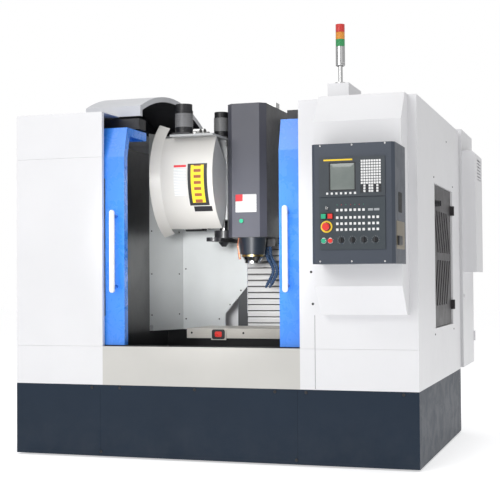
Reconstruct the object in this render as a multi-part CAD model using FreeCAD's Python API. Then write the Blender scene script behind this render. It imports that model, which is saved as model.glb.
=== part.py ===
"""Vertical machining centre: enclosure, bed, column, head, table, tool changer and controls.

The model is laid out with x = 0 on the enclosure's middle, y = 0 on its front panels and z = 0 on the floor.
+X is to the operator's right, +Y points into the machine and +Z is up. Every piece is moved on export so that
the origin lies under the middle of the whole machine's box. All sizes are in millimetres.
"""
import os

import FreeCAD
import Part
from math import atan2, cos, degrees, pi, radians, sin, sqrt

V = FreeCAD.Vector

# ---- enclosure ----
HALF_WIDTH = 1200.0
WALL_DEPTH = 1654.0
ENCLOSURE_TOP = 2010.0
SKIRT_TOP = 421.0
SKIRT_BOTTOM = 10.0
SILL_Z = 644.0
UPPER_SEAM_Z = 1746.0
OPENING_LEFT = -641.0
OPENING_RIGHT = 545.0
SKIRT_SEAM_INSET = 16.0
FOLD = 28.0
SHEET = 2.5
SEAM = 0.8

# ---- spindle line, bed and column ----
SPINDLE_X = 20.0
SPINDLE_Y = 800.0
BED_HALF = 350.0
BED_FRONT = 130.0
BED_BOTTOM = 60.0
BED_TOP = 520.0
BED_DECK = 600.0
CASTING_WALL = 40.0
COLUMN_HALF = 250.0
COLUMN_FRONT = 1255.0
COLUMN_BEHIND_WALL = 146.0
COLUMN_REAR = WALL_DEPTH + COLUMN_BEHIND_WALL
BED_BEHIND_COLUMN = 50.0
BED_REAR = COLUMN_REAR + BED_BEHIND_COLUMN
COLUMN_TOP = 2095.0
TUNNEL_HALF = 210.0
TUNNEL_BACK_WALL = 200.0
TUNNEL_REAR = COLUMN_REAR - TUNNEL_BACK_WALL
FOOT_R = 60.0
FOOT_PAD = 20.0
FOOT_INSET = 90.0
FOOT_BOSS = 62.0

# ---- guides and drives ----
Y_RAIL_SPREAD = 160.0
RAIL_WIDTH = 45.0
RAIL_HEIGHT = 40.0
Z_RAIL_SPREAD = 150.0
Z_RAIL_BOTTOM = 800.0
Z_RAIL_TOP = 2080.0
SCREW_R = 16.0
MOTOR_SIDE = 86.0
SCREW_CLEAR = 0.4
SCREW_DROP = 24.0
NUT_HALF = 50.0
BEARING = 34.0

# ---- saddle and table ----
TABLE_LENGTH = 740.0
TABLE_WIDTH = 420.0
TABLE_TOP = 724.0
TABLE_THICK = 60.0
TABLE_Y = 815.0
SLOT_WIDTH = 18.0
SLOT_HEAD = 30.0
SLOT_DEPTH = 30.0
SLOT_PITCH = 100.0
SADDLE_HALF = 300.0
SADDLE_INSET = 15.0
SADDLE_WIDTH = TABLE_WIDTH - 2 * SADDLE_INSET
SADDLE_CHANNEL = 76.0
REAR_APRON_LENGTH = 250.0
COVER_SHEET = 3.0
COVER_GAP = 0.5
FIXED_HOOD_REAR = 370.0
MIDDLE_COVER = 240.0
REAR_MIDDLE_COVER = 290.0
COVER_LAP = 130.0
REAR_COVER_LAP = 85.0
X_TRAVEL = 265.0
Y_TRAVEL_FRONT = 240.0

# ---- head ----
HEAD_HALF = 126.0
HEAD_CHAMFER = 36.0
HEAD_ROOM = 21.0
HEAD_FRONT = 670.0
HEAD_REAR = 1178.0
HEAD_BOTTOM = 1289.0
HEAD_TOP = 2121.0
CARRIAGE_FRONT = 1180.0
NOSE_R_TOP = 90.0
NOSE_R_LOW = 77.0
NOSE_LOW_Z = 1183.0
RING_Z = 1166.0
RING_R = 68.0
SPINDLE_R = 50.0
SPINDLE_NOSE_Z = 1128.0
TAPER_R = 22.225
TAPER_RATIO = 7.0 / 24.0
TAPER_DEPTH = 66.0
RUNNING = 0.05
Z_COVER_HALF = 160.0
Z_COVER_FRONT = 1186.0
Z_COVER_DEPTH = 26.0
SLAT = 41.0
LEDGE = 12.0

# ---- doors ----
DOOR_FRONT = 36.0
DOOR_WIDTH = 632.0
DOOR_BOTTOM = 650.0
DOOR_FOLD_Z = 1746.0
DOOR_TOP = 1922.0
DOOR_LEAN = 48.0
DOOR_ROOF_REAR = 370.0
DOOR_THICK = 25.0
STILE_WIDTH = 100.0
STILE_DEPTH = 50.0
LEFT_DOOR_EDGE = -518.0
RIGHT_DOOR_EDGE = 421.0
WINDOW_MARGIN = 60.0
WINDOW_BOTTOM = 820.0
WINDOW_TOP = 1620.0
GLASS = 6.0
HANDLE_LENGTH = 480.0
HANDLE_MID_Z = 1193.0
HANDLE_Y = -25.0
HANDLE_R = 16.0
STANDOFF_R = 10.0
SILL_GAP = 0.3
HANGER_LENGTH = 150.0
HANGER_GAP = 0.3

# ---- console and pendant ----
CONSOLE_LEFT = 684.0
CONSOLE_RIGHT = 1152.0
CONSOLE_FRONT = -200.0
CONSOLE_TOP_FRONT = -84.0
CONSOLE_FOREHEAD_Z = 1857.0
CONSOLE_CHIN_Z = 986.0
CONSOLE_CHIN_FRONT = -69.0
CONSOLE_BOTTOM = 832.0
PENDANT_LEFT = 726.0
PENDANT_RIGHT = 1155.0
PENDANT_FRONT = -410.0
PENDANT_REAR = -110.0
PENDANT_BOTTOM = 1101.0
PENDANT_TOP = 1712.0
PENDANT_CHAMFER = 16.0
UNIT_LEFT = 769.0
UNIT_RIGHT = 1108.0
DISPLAY_BOTTOM = 1441.0
DISPLAY_TOP = 1641.0
KEYS_BOTTOM = 1173.0
KEYS_TOP = 1436.0
UNIT_PROUD = 6.0
UNIT_DEPTH = 60.0
BUTTON_CLEAR = 0.3
KEY_SIDE = 12.0
KEY_COLUMNS = (862.0, 884.0, 907.0, 931.0, 953.0, 976.0, 998.0, 1026.0, 1048.0, 1070.0)
KEY_ROWS = (1373.0, 1335.0, 1304.0, 1274.0)
KNOB_Z = 1221.0
KNOB_X = (882.0, 940.0, 998.0, 1057.0)
SQUARE_BUTTON_Z = 1343.0
ROUND_BUTTON_Z = 1219.0
LEFT_BUTTON_X = 791.0
RIGHT_BUTTON_X = 826.0
KEY_SWITCH = (808.0, 1384.0)
ESTOP = (806.0, 1290.0)
UNCLAMP = (-7.0, 1388.0)

# ---- roof, tower light and hood ----
TOWER_X = 742.0
TOWER_Y = 190.0
TOWER_BOX_HALF = 60.0
TOWER_BOX_FRONT = 130.0
TOWER_BOX_REAR = 450.0
TOWER_BOX_TOP = 2116.0
LENS_R = 26.0
POLE_R = 12.0
TOWER_RING_Z = 2221.0
TOWER_BODY_Z = 2238.0
GREEN_Z = 2329.0
AMBER_Z = 2370.0
RED_Z = 2410.0
TOWER_TOP_Z = 2455.0
HOOD_LEFT = -859.0
HOOD_RIGHT = -500.0
HOOD_FRONT = 238.0
HOOD_REAR = 1318.0
HOOD_R = 1295.0
HOOD_EAVE_Z = 2071.0
HOOD_RIM = 32.0
ROOF_LAP = 14.0
RAIL_BEAM_Z = (1932.0, 1996.0)
RAIL_BEAM_Y = (240.0, 345.0)

# ---- inside walls ----
LEFT_WALL_X = -735.0
LEFT_WALL_Y = 926.0
REAR_WALL_LEFT = -620.0
REAR_WALL_Y = 1240.0
REAR_WALL_RIGHT = -160.0
RIGHT_WALL_X = 700.0
WALL_BOTTOM = 690.0
WALL_FRONT = 100.0
WALL_TOP = 1995.0
SIDE_WALL_TOP = 1860.0
REAR_WALL_TOP = 1450.0
TROUGH_Z = 446.0
TROUGH_FALL = 110.0
DOOR_PATH_DROP = 48.0

# ---- tool changer ----
MAG_Z = 1664.0
POT_RING_R = 296.0
POT_R = 33.0
POT_COUNT = 24
POT_RIGHT = -294.0
POT_LEFT = -422.0
POT_HINGE_X = -360.0
DISC_R = 258.0
DISC_X = (-282.0, -268.0)
GEARBOX_X = (-262.0, -112.0)
GEARBOX_Y = (700.0, 950.0)
GEARBOX_Z = (1400.0, 1860.0)
ARM_X = -170.0
ARM_Z = (1262.0, 1286.0)
ARM_STROKE = 110.0
SHAFT_GUIDE = 20.0
SHAFT_R = 25.0
MAG_COVER_R = 375.0
MAG_COVER_X = (-450.0, -112.0)
MAG_COVER_TOP = 39.3
MAG_COVER_BOTTOM = -59.0
LIP_X = -512.0
LIP_R = 400.0
LIP_TOP = 56.0
LIP_BOTTOM = -68.0
MOTOR_PLATE_Z = 1902.0
MOTOR_PLATE_THICK = 12.0
MAG_MOTOR = (-321.0, 500.0)
ARM_MOTOR = (-170.0, 765.0)

# ---- side door and electrical cabinet ----
SIDE_DOOR_Y = (596.0, 1320.0)
SIDE_DOOR_Z = (737.0, 1576.0)
SIDE_DOOR_RECESS = 12.0
SIDE_DOOR_THICK = 20.0
SIDE_DOOR_GAP = 3.0
SIDE_KNOB = (708.0, 1467.0)
CABINET_WIDTH = 438.0
CABINET_INSET = 6.0
CABINET_DEPTH = 590.0
NECK_LENGTH = 35.0
CABINET_RIGHT = HALF_WIDTH - CABINET_INSET
CABINET_LEFT = CABINET_RIGHT - CABINET_WIDTH
CABINET_FRONT = WALL_DEPTH + NECK_LENGTH
CABINET_REAR = CABINET_FRONT + CABINET_DEPTH
CABINET_BOTTOM = 427.0
CABINET_TOP = 2030.0
CABINET_DOOR_THICK = 22.0
CABINET_BEAM_Z = (700.0, 1700.0)
NECK_INSET_X = 40.0
NECK_INSET_RIGHT = 60.0
NECK_INSET_Z = 60.0
SEAL_GAP = 0.3
EXCHANGER_INSET = 23.0
EXCHANGER_WIDTH = 370.0
EXCHANGER_Y = (CABINET_FRONT + EXCHANGER_INSET, CABINET_FRONT + EXCHANGER_INSET + EXCHANGER_WIDTH)
EXCHANGER_Z = (1065.0, 1885.0)
EXCHANGER_DEPTH = 90.0
HINGE_R = 6.0

# ---- worked out from the sizes above ----
CABINET_DOOR_OUT = CABINET_RIGHT + SEAL_GAP + CABINET_DOOR_THICK
EXCHANGER_OUT = CABINET_DOOR_OUT + EXCHANGER_DEPTH
ESTOP_FRONT = PENDANT_FRONT - UNIT_PROUD - 27.0
ORIGIN = V((EXCHANGER_OUT - HALF_WIDTH) / 2, (ESTOP_FRONT + CABINET_REAR) / 2, 0)
TABLE_BOTTOM = TABLE_TOP - TABLE_THICK
SADDLE_BOTTOM = BED_TOP + RAIL_HEIGHT
SADDLE_FRONT = TABLE_Y - SADDLE_WIDTH / 2
SADDLE_REAR = TABLE_Y + SADDLE_WIDTH / 2
MAG_Y = SPINDLE_Y
ARM_REACH = SPINDLE_X - ARM_X
POT_Z = MAG_Z - POT_RING_R


def box(x0, x1, y0, y1, z0, z1):
    """A block between two corners."""
    return Part.makeBox(x1 - x0, y1 - y0, z1 - z0, V(x0, y0, z0))


def rod(start, direction, radius, length):
    """A round bar from a start point."""
    return Part.makeCylinder(radius, length, V(*start), V(*direction))


def cone(start, direction, r0, r1, length):
    """A round taper from radius r0 to r1."""
    return Part.makeCone(r0, r1, length, V(*start), V(*direction))


def prism_x(points, x0, x1):
    """A flat outline of (y, z) points, extruded from x0 to x1."""
    corners = [V(x0, y, z) for y, z in points]
    face = Part.Face(Part.makePolygon(corners + corners[:1]))
    return face.extrude(V(x1 - x0, 0, 0))


def prism_y(points, y0, y1):
    """A flat outline of (x, z) points, extruded from y0 to y1."""
    corners = [V(x, y0, z) for x, z in points]
    face = Part.Face(Part.makePolygon(corners + corners[:1]))
    return face.extrude(V(0, y1 - y0, 0))


def prism_z(points, z0, z1):
    """A flat outline of (x, y) points, extruded from z0 to z1."""
    corners = [V(x, y, z0) for x, y in points]
    face = Part.Face(Part.makePolygon(corners + corners[:1]))
    return face.extrude(V(0, 0, z1 - z0))


def fuse(shapes):
    """One solid from shapes that touch or overlap."""
    return shapes[0].multiFuse(shapes[1:]).removeSplitter()


def group(shapes):
    """Separate solids that share one node."""
    return Part.makeCompound(shapes)


def pan_front(x0, x1, z0, z1, y0=0.0, depth=FOLD):
    """A sheet panel that faces the front, with its four edges folded back."""
    outer = box(x0, x1, y0, y0 + depth, z0, z1)
    inner = box(x0 + SHEET, x1 - SHEET, y0 + SHEET, y0 + depth + 1, z0 + SHEET, z1 - SHEET)
    return outer.cut(inner)


def pan_side(side, y0, y1, z0, z1):
    """A sheet panel on the left (-1) or right (+1) side, with its four edges folded in."""
    face = side * HALF_WIDTH
    inside = side * (HALF_WIDTH - FOLD)
    outer = box(min(face, inside), max(face, inside), y0, y1, z0, z1)
    low = min(face, inside) + (SHEET if side < 0 else -1)
    high = max(face, inside) - (SHEET if side > 0 else -1)
    return outer.cut(box(low, high, y0 + SHEET, y1 - SHEET, z0 + SHEET, z1 - SHEET))


# ---- bed, column and feet ----
def bed():
    """Hollow casting with the saddle's deck in front and the raised column deck behind."""
    left = SPINDLE_X - BED_HALF
    right = SPINDLE_X + BED_HALF
    low = box(left, right, BED_FRONT, BED_REAR, BED_BOTTOM, BED_TOP)
    deck = box(left, right, COLUMN_FRONT, BED_REAR, BED_TOP, BED_DECK)
    tunnel = box(SPINDLE_X - TUNNEL_HALF, SPINDLE_X + TUNNEL_HALF, COLUMN_FRONT - 1, TUNNEL_REAR,
                 BED_TOP, BED_DECK + 1)
    solid = fuse([low, deck]).cut(tunnel)
    middle = (BED_FRONT + BED_REAR) / 2
    for y0, y1 in ((BED_FRONT, middle + CASTING_WALL / 2), (middle - CASTING_WALL / 2, BED_REAR)):
        solid = solid.cut(box(left + CASTING_WALL, right - CASTING_WALL, y0 + CASTING_WALL, y1 - CASTING_WALL,
                              BED_BOTTOM - 1, BED_TOP - CASTING_WALL))
    bosses = [box(x - FOOT_BOSS, x + FOOT_BOSS, y - FOOT_BOSS, y + FOOT_BOSS, BED_BOTTOM, BED_TOP - 1)
              for x, y in foot_places()]
    return fuse([solid] + bosses)


def column():
    """Box column, hollow from below, on the raised deck, with the ledge the slatted cover stands on."""
    left = SPINDLE_X - COLUMN_HALF
    right = SPINDLE_X + COLUMN_HALF
    outer = box(left, right, COLUMN_FRONT, COLUMN_REAR, BED_DECK, COLUMN_TOP)
    inner = box(left + CASTING_WALL, right - CASTING_WALL, COLUMN_FRONT + CASTING_WALL,
                COLUMN_REAR - CASTING_WALL, BED_DECK - 1, COLUMN_TOP - CASTING_WALL)
    ledge = box(SPINDLE_X - Z_COVER_HALF, SPINDLE_X + Z_COVER_HALF, Z_COVER_FRONT, COLUMN_FRONT + 1,
                BED_DECK, BED_DECK + LEDGE)
    return fuse([outer.cut(inner), ledge])


def foot_places():
    """Six (x, y) places under the bed."""
    xs = (SPINDLE_X - BED_HALF + FOOT_INSET, SPINDLE_X + BED_HALF - FOOT_INSET)
    ys = (BED_FRONT + FOOT_INSET, (BED_FRONT + BED_REAR) / 2, BED_REAR - FOOT_INSET)
    return [(x, y) for y in ys for x in xs]


def leveling_feet():
    """Round pads with a jack screw and a nut under the bed."""
    feet = []
    for x, y in foot_places():
        pad = cone((x, y, 0), (0, 0, 1), FOOT_R, FOOT_R - 6, FOOT_PAD)
        screw = rod((x, y, FOOT_PAD), (0, 0, 1), 15, BED_BOTTOM - FOOT_PAD - 16)
        nut = rod((x, y, BED_BOTTOM - 16), (0, 0, 1), 26, 16)
        feet.append(fuse([pad, screw, nut]))
    return group(feet)


# ---- outer panels ----
def skirt_panels():
    """Dark base panels: three in front, one each side and two behind, beside the bed."""
    seam_left = OPENING_LEFT - SKIRT_SEAM_INSET
    seam_right = OPENING_RIGHT - SKIRT_SEAM_INSET
    z0 = SKIRT_BOTTOM
    z1 = SKIRT_TOP
    pieces = [pan_front(-HALF_WIDTH, seam_left - SEAM, z0, z1),
              pan_front(seam_left, seam_right - SEAM, z0, z1),
              pan_front(seam_right, HALF_WIDTH, z0, z1)]
    for side in (-1, 1):
        pieces.append(pan_side(side, FOLD, WALL_DEPTH, z0, z1))
    rear_y = WALL_DEPTH - FOLD
    inner = HALF_WIDTH - FOLD
    pieces.append(pan_front(-inner, SPINDLE_X - BED_HALF, z0, z1, rear_y))
    pieces.append(pan_front(SPINDLE_X + BED_HALF, inner, z0, z1, rear_y))
    return group(pieces)


def front_apron():
    """Grey sill panel between the front panels, below the doors."""
    return pan_front(OPENING_LEFT, OPENING_RIGHT, SKIRT_TOP, SILL_Z)


def front_panels():
    """White front panels: three sheets on the left and two on the right."""
    left = -HALF_WIDTH
    right = HALF_WIDTH
    pieces = [pan_front(left, OPENING_LEFT, SKIRT_TOP, SILL_Z - SEAM),
              pan_front(left, OPENING_LEFT, SILL_Z, UPPER_SEAM_Z - SEAM),
              pan_front(left, OPENING_LEFT, UPPER_SEAM_Z, ENCLOSURE_TOP),
              pan_front(OPENING_RIGHT, right, SKIRT_TOP, SILL_Z - SEAM),
              pan_front(OPENING_RIGHT, right, SILL_Z, ENCLOSURE_TOP)]
    return group(pieces)


def left_side_panel():
    """Plain white side."""
    return pan_side(-1, FOLD, WALL_DEPTH, SKIRT_TOP, ENCLOSURE_TOP)


def right_side_panel():
    """White side with the folded opening for the access door."""
    panel = pan_side(1, FOLD, WALL_DEPTH, SKIRT_TOP, ENCLOSURE_TOP)
    y0, y1 = SIDE_DOOR_Y
    z0, z1 = SIDE_DOOR_Z
    gap = SIDE_DOOR_GAP
    stop_inside = HALF_WIDTH - SIDE_DOOR_RECESS - SIDE_DOOR_THICK
    frame = box(stop_inside - SHEET, HALF_WIDTH, y0 - gap - SHEET, y1 + gap + SHEET,
                z0 - gap - SHEET, z1 + gap + SHEET)
    hole = box(stop_inside - SHEET - 1, HALF_WIDTH + 1, y0 - gap, y1 + gap, z0 - gap, z1 + gap)
    stop = box(stop_inside - SHEET, stop_inside, y0 - gap - 1, y1 + gap + 1, z0 - gap - 1, z1 + gap + 1)
    stop_hole = box(stop_inside - SHEET - 1, stop_inside + 1, y0 + 20, y1 - 20, z0 + 20, z1 - 20)
    return fuse([panel.fuse(frame).cut(hole), stop.cut(stop_hole)])


def rear_and_roof_panels():
    """Rear sheets beside the column and roof sheets over both ends."""
    inner = HALF_WIDTH - FOLD
    rear_y = WALL_DEPTH - FOLD
    left = pan_front(-inner, SPINDLE_X - COLUMN_HALF, SKIRT_TOP, ENCLOSURE_TOP - SHEET, rear_y)
    right = pan_front(SPINDLE_X + COLUMN_HALF, inner, SKIRT_TOP, ENCLOSURE_TOP - SHEET, rear_y)
    low_z = BED_DECK
    left = left.cut(box(SPINDLE_X - BED_HALF, SPINDLE_X - COLUMN_HALF + 1, rear_y - 1, WALL_DEPTH + 1,
                        SKIRT_TOP - 1, low_z))
    right = right.cut(box(SPINDLE_X + COLUMN_HALF - 1, SPINDLE_X + BED_HALF, rear_y - 1, WALL_DEPTH + 1,
                          SKIRT_TOP - 1, low_z))
    z0 = ENCLOSURE_TOP - SHEET
    hole_left = HOOD_LEFT + ROOF_LAP
    hole_front = HOOD_FRONT + ROOF_LAP
    hole_rear = HOOD_REAR - ROOF_LAP
    roof = [box(-inner, hole_left, FOLD, WALL_DEPTH, z0, ENCLOSURE_TOP),
            box(hole_left, OPENING_LEFT, FOLD, hole_front, z0, ENCLOSURE_TOP),
            box(hole_left, OPENING_LEFT, hole_rear, WALL_DEPTH, z0, ENCLOSURE_TOP),
            box(OPENING_RIGHT, inner, FOLD, WALL_DEPTH, z0, ENCLOSURE_TOP)]
    return group([left, right] + roof)


def hood_section(offset):
    """Closed (y, z) outline of the hood, moved inwards by offset."""
    middle = (HOOD_FRONT + HOOD_REAR) / 2
    half = (HOOD_REAR - HOOD_FRONT) / 2 - offset
    radius = HOOD_R - offset
    centre_z = HOOD_EAVE_Z - sqrt(HOOD_R ** 2 - (half + offset) ** 2)
    eave = centre_z + sqrt(radius ** 2 - half ** 2)
    crown = V(0, middle, centre_z + radius)
    base_z = ENCLOSURE_TOP if offset == 0 else ENCLOSURE_TOP - 1
    a = V(0, middle - half, base_z)
    b = V(0, middle - half, eave)
    c = V(0, middle + half, eave)
    d = V(0, middle + half, base_z)
    edges = [Part.makeLine(a, b), Part.Arc(b, crown, c).toShape(), Part.makeLine(c, d), Part.makeLine(d, a)]
    return Part.Face(Part.Wire(edges))


def magazine_hood():
    """Arched cover on the left roof, shut on its outer end and rimmed at its open end."""
    outer = hood_section(0).extrude(V(HOOD_RIGHT - HOOD_LEFT, 0, 0))
    inner = hood_section(SHEET).extrude(V(HOOD_RIGHT - HOOD_LEFT - 2 * SHEET, 0, 0))
    mouth = hood_section(HOOD_RIM).extrude(V(4 * SHEET, 0, 0))
    outer.translate(V(HOOD_LEFT, 0, 0))
    inner.translate(V(HOOD_LEFT + SHEET, 0, 0))
    mouth.translate(V(HOOD_RIGHT - 3 * SHEET, 0, 0))
    return outer.cut(inner).cut(mouth)


def door_rails():
    """Sill rail under the doors and the two overhead beams that carry them."""
    inner = HALF_WIDTH - FOLD
    y0 = DOOR_FRONT + 9
    sill = box(-inner, inner, y0, y0 + 6, SILL_Z - 44, DOOR_BOTTOM - SILL_GAP)
    foot = box(-inner, inner, FOLD, y0 + 1, SILL_Z - 4, SILL_Z)
    left = rail_beam(SHEET - HALF_WIDTH, LEFT_DOOR_EDGE + 7)
    right = rail_beam(RIGHT_DOOR_EDGE - 7, HALF_WIDTH - SHEET)
    return group([fuse([sill, foot]), left, right])


def rail_beam(x0, x1):
    """Square tube over the doors' roof parts."""
    y0, y1 = RAIL_BEAM_Y
    z0, z1 = RAIL_BEAM_Z
    tube = box(x0, x1, y0, y1, z0, z1)
    return tube.cut(box(x0 + SHEET, x1 - SHEET, y0 + SHEET, y1 - SHEET, z0 + SHEET, z1 - SHEET))


# ---- inside of the work area ----
def wall_strip(points, z0, z1):
    """A sheet wall that follows (x, y) points, thickened away from the work area."""
    strips = []
    for (xa, ya), (xb, yb) in zip(points, points[1:]):
        length = sqrt((xb - xa) ** 2 + (yb - ya) ** 2)
        plate = Part.makeBox(length, COVER_SHEET, z1 - z0, V(0, 0, z0))
        plate.rotate(V(0, 0, 0), V(0, 0, 1), degrees(atan2(yb - ya, xb - xa)))
        plate.translate(V(xa, ya, 0))
        strips.append(plate)
    return strips


def inner_walls():
    """Left, rear and right liners of the work area, each a sheet, with the pocket liner on the left."""
    left = wall_strip([(LEFT_WALL_X, LEFT_WALL_Y), (REAR_WALL_LEFT, REAR_WALL_Y)], WALL_BOTTOM, WALL_TOP)[0]
    left = left.cut(box(LEFT_WALL_X - 20, LEFT_WALL_X + 75, LEFT_WALL_Y - 1, LEFT_WALL_Y + 26,
                        WALL_BOTTOM - 1, WALL_BOTTOM + 36))
    rear = box(REAR_WALL_LEFT, REAR_WALL_RIGHT, REAR_WALL_Y, REAR_WALL_Y + COVER_SHEET,
               WALL_BOTTOM, REAR_WALL_TOP)
    rear = rear.cut(prism_y([(REAR_WALL_RIGHT - 156, WALL_BOTTOM - 1), (REAR_WALL_RIGHT - 156, 796),
                             (REAR_WALL_RIGHT + 1, 981), (REAR_WALL_RIGHT + 1, WALL_BOTTOM - 1)],
                            REAR_WALL_Y - 1, REAR_WALL_Y + 10))
    right_rear = box(SPINDLE_X + Z_COVER_HALF + 20, RIGHT_WALL_X, REAR_WALL_Y, REAR_WALL_Y + COVER_SHEET,
                     WALL_BOTTOM, REAR_WALL_TOP)
    right = box(RIGHT_WALL_X, RIGHT_WALL_X + COVER_SHEET, WALL_FRONT, REAR_WALL_Y + COVER_SHEET,
                WALL_BOTTOM, SIDE_WALL_TOP)
    pocket = box(LEFT_WALL_X - COVER_SHEET, LEFT_WALL_X, WALL_FRONT, LEFT_WALL_Y, WALL_BOTTOM, SIDE_WALL_TOP)
    return group([left, rear, right_rear, right, pocket])


def trough(outer_x, bed_x):
    """Plates of a chip trough: the wall, lower where the doors run, and the slope down to the bed."""
    t = COVER_SHEET
    inner_x = outer_x + t if bed_x > outer_x else outer_x - t
    fall_z = WALL_BOTTOM - TROUGH_FALL
    spans = ((FOLD + SHEET, WALL_FRONT, SILL_Z - DOOR_PATH_DROP), (WALL_FRONT, REAR_WALL_Y, WALL_BOTTOM))
    plates = [prism_y([(outer_x, top), (inner_x, top), (inner_x, fall_z), (outer_x, fall_z - t)], y0, y1)
              for y0, y1, top in spans]
    slope = [(outer_x, fall_z - t), (inner_x, fall_z), (bed_x, TROUGH_Z), (bed_x, TROUGH_Z - t)]
    return plates + [prism_y(slope, FOLD + SHEET, REAR_WALL_Y)]


def chip_pan():
    """Plates of the troughs both sides of the bed, and the fixed hood over the Y guides."""
    left_x = LEFT_WALL_X - COVER_SHEET
    right_x = RIGHT_WALL_X + COVER_SHEET
    bed_left = SPINDLE_X - BED_HALF
    bed_right = SPINDLE_X + BED_HALF
    front = box(bed_left, bed_right, FOLD + SHEET, BED_FRONT, TROUGH_Z - COVER_SHEET, TROUGH_Z)
    rear_left = box(left_x, bed_left, REAR_WALL_Y, REAR_WALL_Y + COVER_SHEET, TROUGH_Z, WALL_BOTTOM)
    rear_right = box(bed_right, right_x, REAR_WALL_Y, REAR_WALL_Y + COVER_SHEET, TROUGH_Z, WALL_BOTTOM)
    sill_front = box(left_x, right_x, FOLD, FOLD + SHEET, TROUGH_Z - 20, SILL_Z - DOOR_PATH_DROP)
    hood = cover_hood(BED_FRONT, FIXED_HOOD_REAR, 0, BED_TOP)
    sides = trough(left_x, bed_left) + trough(right_x, bed_right)
    return group(sides + [front, rear_left, rear_right, sill_front, hood])


def cover_hood(y0, y1, level, leg_z):
    """Inverted trough over the Y guides; each level up is one sheet and one gap larger."""
    step = level * (COVER_SHEET + COVER_GAP)
    half = Y_RAIL_SPREAD + RAIL_WIDTH / 2 + 7 + step
    top = BED_TOP + RAIL_HEIGHT + 6 + step
    outer = box(SPINDLE_X - half, SPINDLE_X + half, y0, y1, leg_z, top)
    inner = box(SPINDLE_X - half + COVER_SHEET, SPINDLE_X + half - COVER_SHEET, y0 - 1, y1 + 1,
                leg_z - 1, top - COVER_SHEET)
    return outer.cut(inner)


def z_way_cover():
    """Slatted steel cover between the bed and the head."""
    y0 = Z_COVER_FRONT
    y1 = Z_COVER_FRONT + Z_COVER_DEPTH
    top = HEAD_BOTTOM + 11
    bottom = BED_DECK + LEDGE
    count = round((top - bottom) / SLAT)
    pitch = (top - bottom) / count
    outline = [(y1, bottom), (y0 + 6, bottom)]
    for index in range(count):
        z = bottom + index * pitch
        outline += [(y0, z + 3), (y0 + 5, z + pitch - 1)]
    outline += [(y0 + 6, top), (y1, top)]
    return prism_x(outline, SPINDLE_X - Z_COVER_HALF, SPINDLE_X + Z_COVER_HALF)


# ---- drives ----
def axis_drives():
    """Y and Z guide rails, ball screws, bearing blocks and motors on the bed and the column."""
    pieces = []
    for side in (-1, 1):
        x = SPINDLE_X + side * Y_RAIL_SPREAD
        pieces.append(box(x - RAIL_WIDTH / 2, x + RAIL_WIDTH / 2, BED_FRONT + 70, COLUMN_FRONT + 100,
                          BED_TOP, BED_TOP + RAIL_HEIGHT))
        x = SPINDLE_X + side * Z_RAIL_SPREAD
        pieces.append(box(x - RAIL_WIDTH / 2, x + RAIL_WIDTH / 2, COLUMN_FRONT - RAIL_HEIGHT, COLUMN_FRONT,
                          Z_RAIL_BOTTOM, Z_RAIL_TOP))
    screw_z = BED_TOP + RAIL_HEIGHT / 2
    y_screw = rod((SPINDLE_X, BED_FRONT + 70, screw_z), (0, 1, 0), SCREW_R, COLUMN_FRONT + 100 - BED_FRONT - 70)
    y_block = box(SPINDLE_X - 45, SPINDLE_X + 45, BED_FRONT + 60, BED_FRONT + 100, BED_TOP, SADDLE_BOTTOM)
    y_rear = box(SPINDLE_X - 45, SPINDLE_X + 45, COLUMN_FRONT + 90, COLUMN_FRONT + 130, BED_TOP, SADDLE_BOTTOM)
    pieces.append(fuse([y_screw, y_block, y_rear]))
    screw_y = COLUMN_FRONT - RAIL_HEIGHT / 2
    z_screw = rod((SPINDLE_X, screw_y, Z_RAIL_BOTTOM), (0, 0, 1), SCREW_R, Z_RAIL_TOP - Z_RAIL_BOTTOM + 15)
    z_foot = box(SPINDLE_X - 45, SPINDLE_X + 45, COLUMN_FRONT - RAIL_HEIGHT, COLUMN_FRONT,
                 Z_RAIL_BOTTOM - 30, Z_RAIL_BOTTOM + 20)
    shelf = box(SPINDLE_X - 75, SPINDLE_X + 75, COLUMN_FRONT - RAIL_HEIGHT - 25, COLUMN_FRONT + 90,
                COLUMN_TOP, COLUMN_TOP + 20)
    half = MOTOR_SIDE / 2
    motor = box(SPINDLE_X - half, SPINDLE_X + half, screw_y - half, screw_y + half,
                COLUMN_TOP + 20, COLUMN_TOP + 105)
    pieces.append(fuse([z_screw, z_foot, shelf, motor]))
    return group(pieces)


def x_axis_drive():
    """Cross screw, its two bearing blocks and its motor on the saddle."""
    z = TABLE_BOTTOM - SCREW_DROP
    y = TABLE_Y
    reach = X_TRAVEL + NUT_HALF + 2
    half = SADDLE_CHANNEL / 2
    pieces = [rod((SPINDLE_X - reach - 4, y, z), (1, 0, 0), SCREW_R, 2 * reach + 8)]
    for side in (-1, 1):
        ends = (SPINDLE_X + side * reach, SPINDLE_X + side * (reach + BEARING))
        pieces.append(box(min(ends), max(ends), y - half, y + half, z - 28, z + 23))
        arm = (SPINDLE_X + side * SADDLE_HALF, ends[1])
        pieces.append(box(min(arm), max(arm), y - half, y + half, z - 30, z - 22))
    start = SPINDLE_X + reach + BEARING
    pieces.append(box(start, start + 90, y - 42, y + 42, z - 62, z + 22))
    return fuse(pieces)


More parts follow.
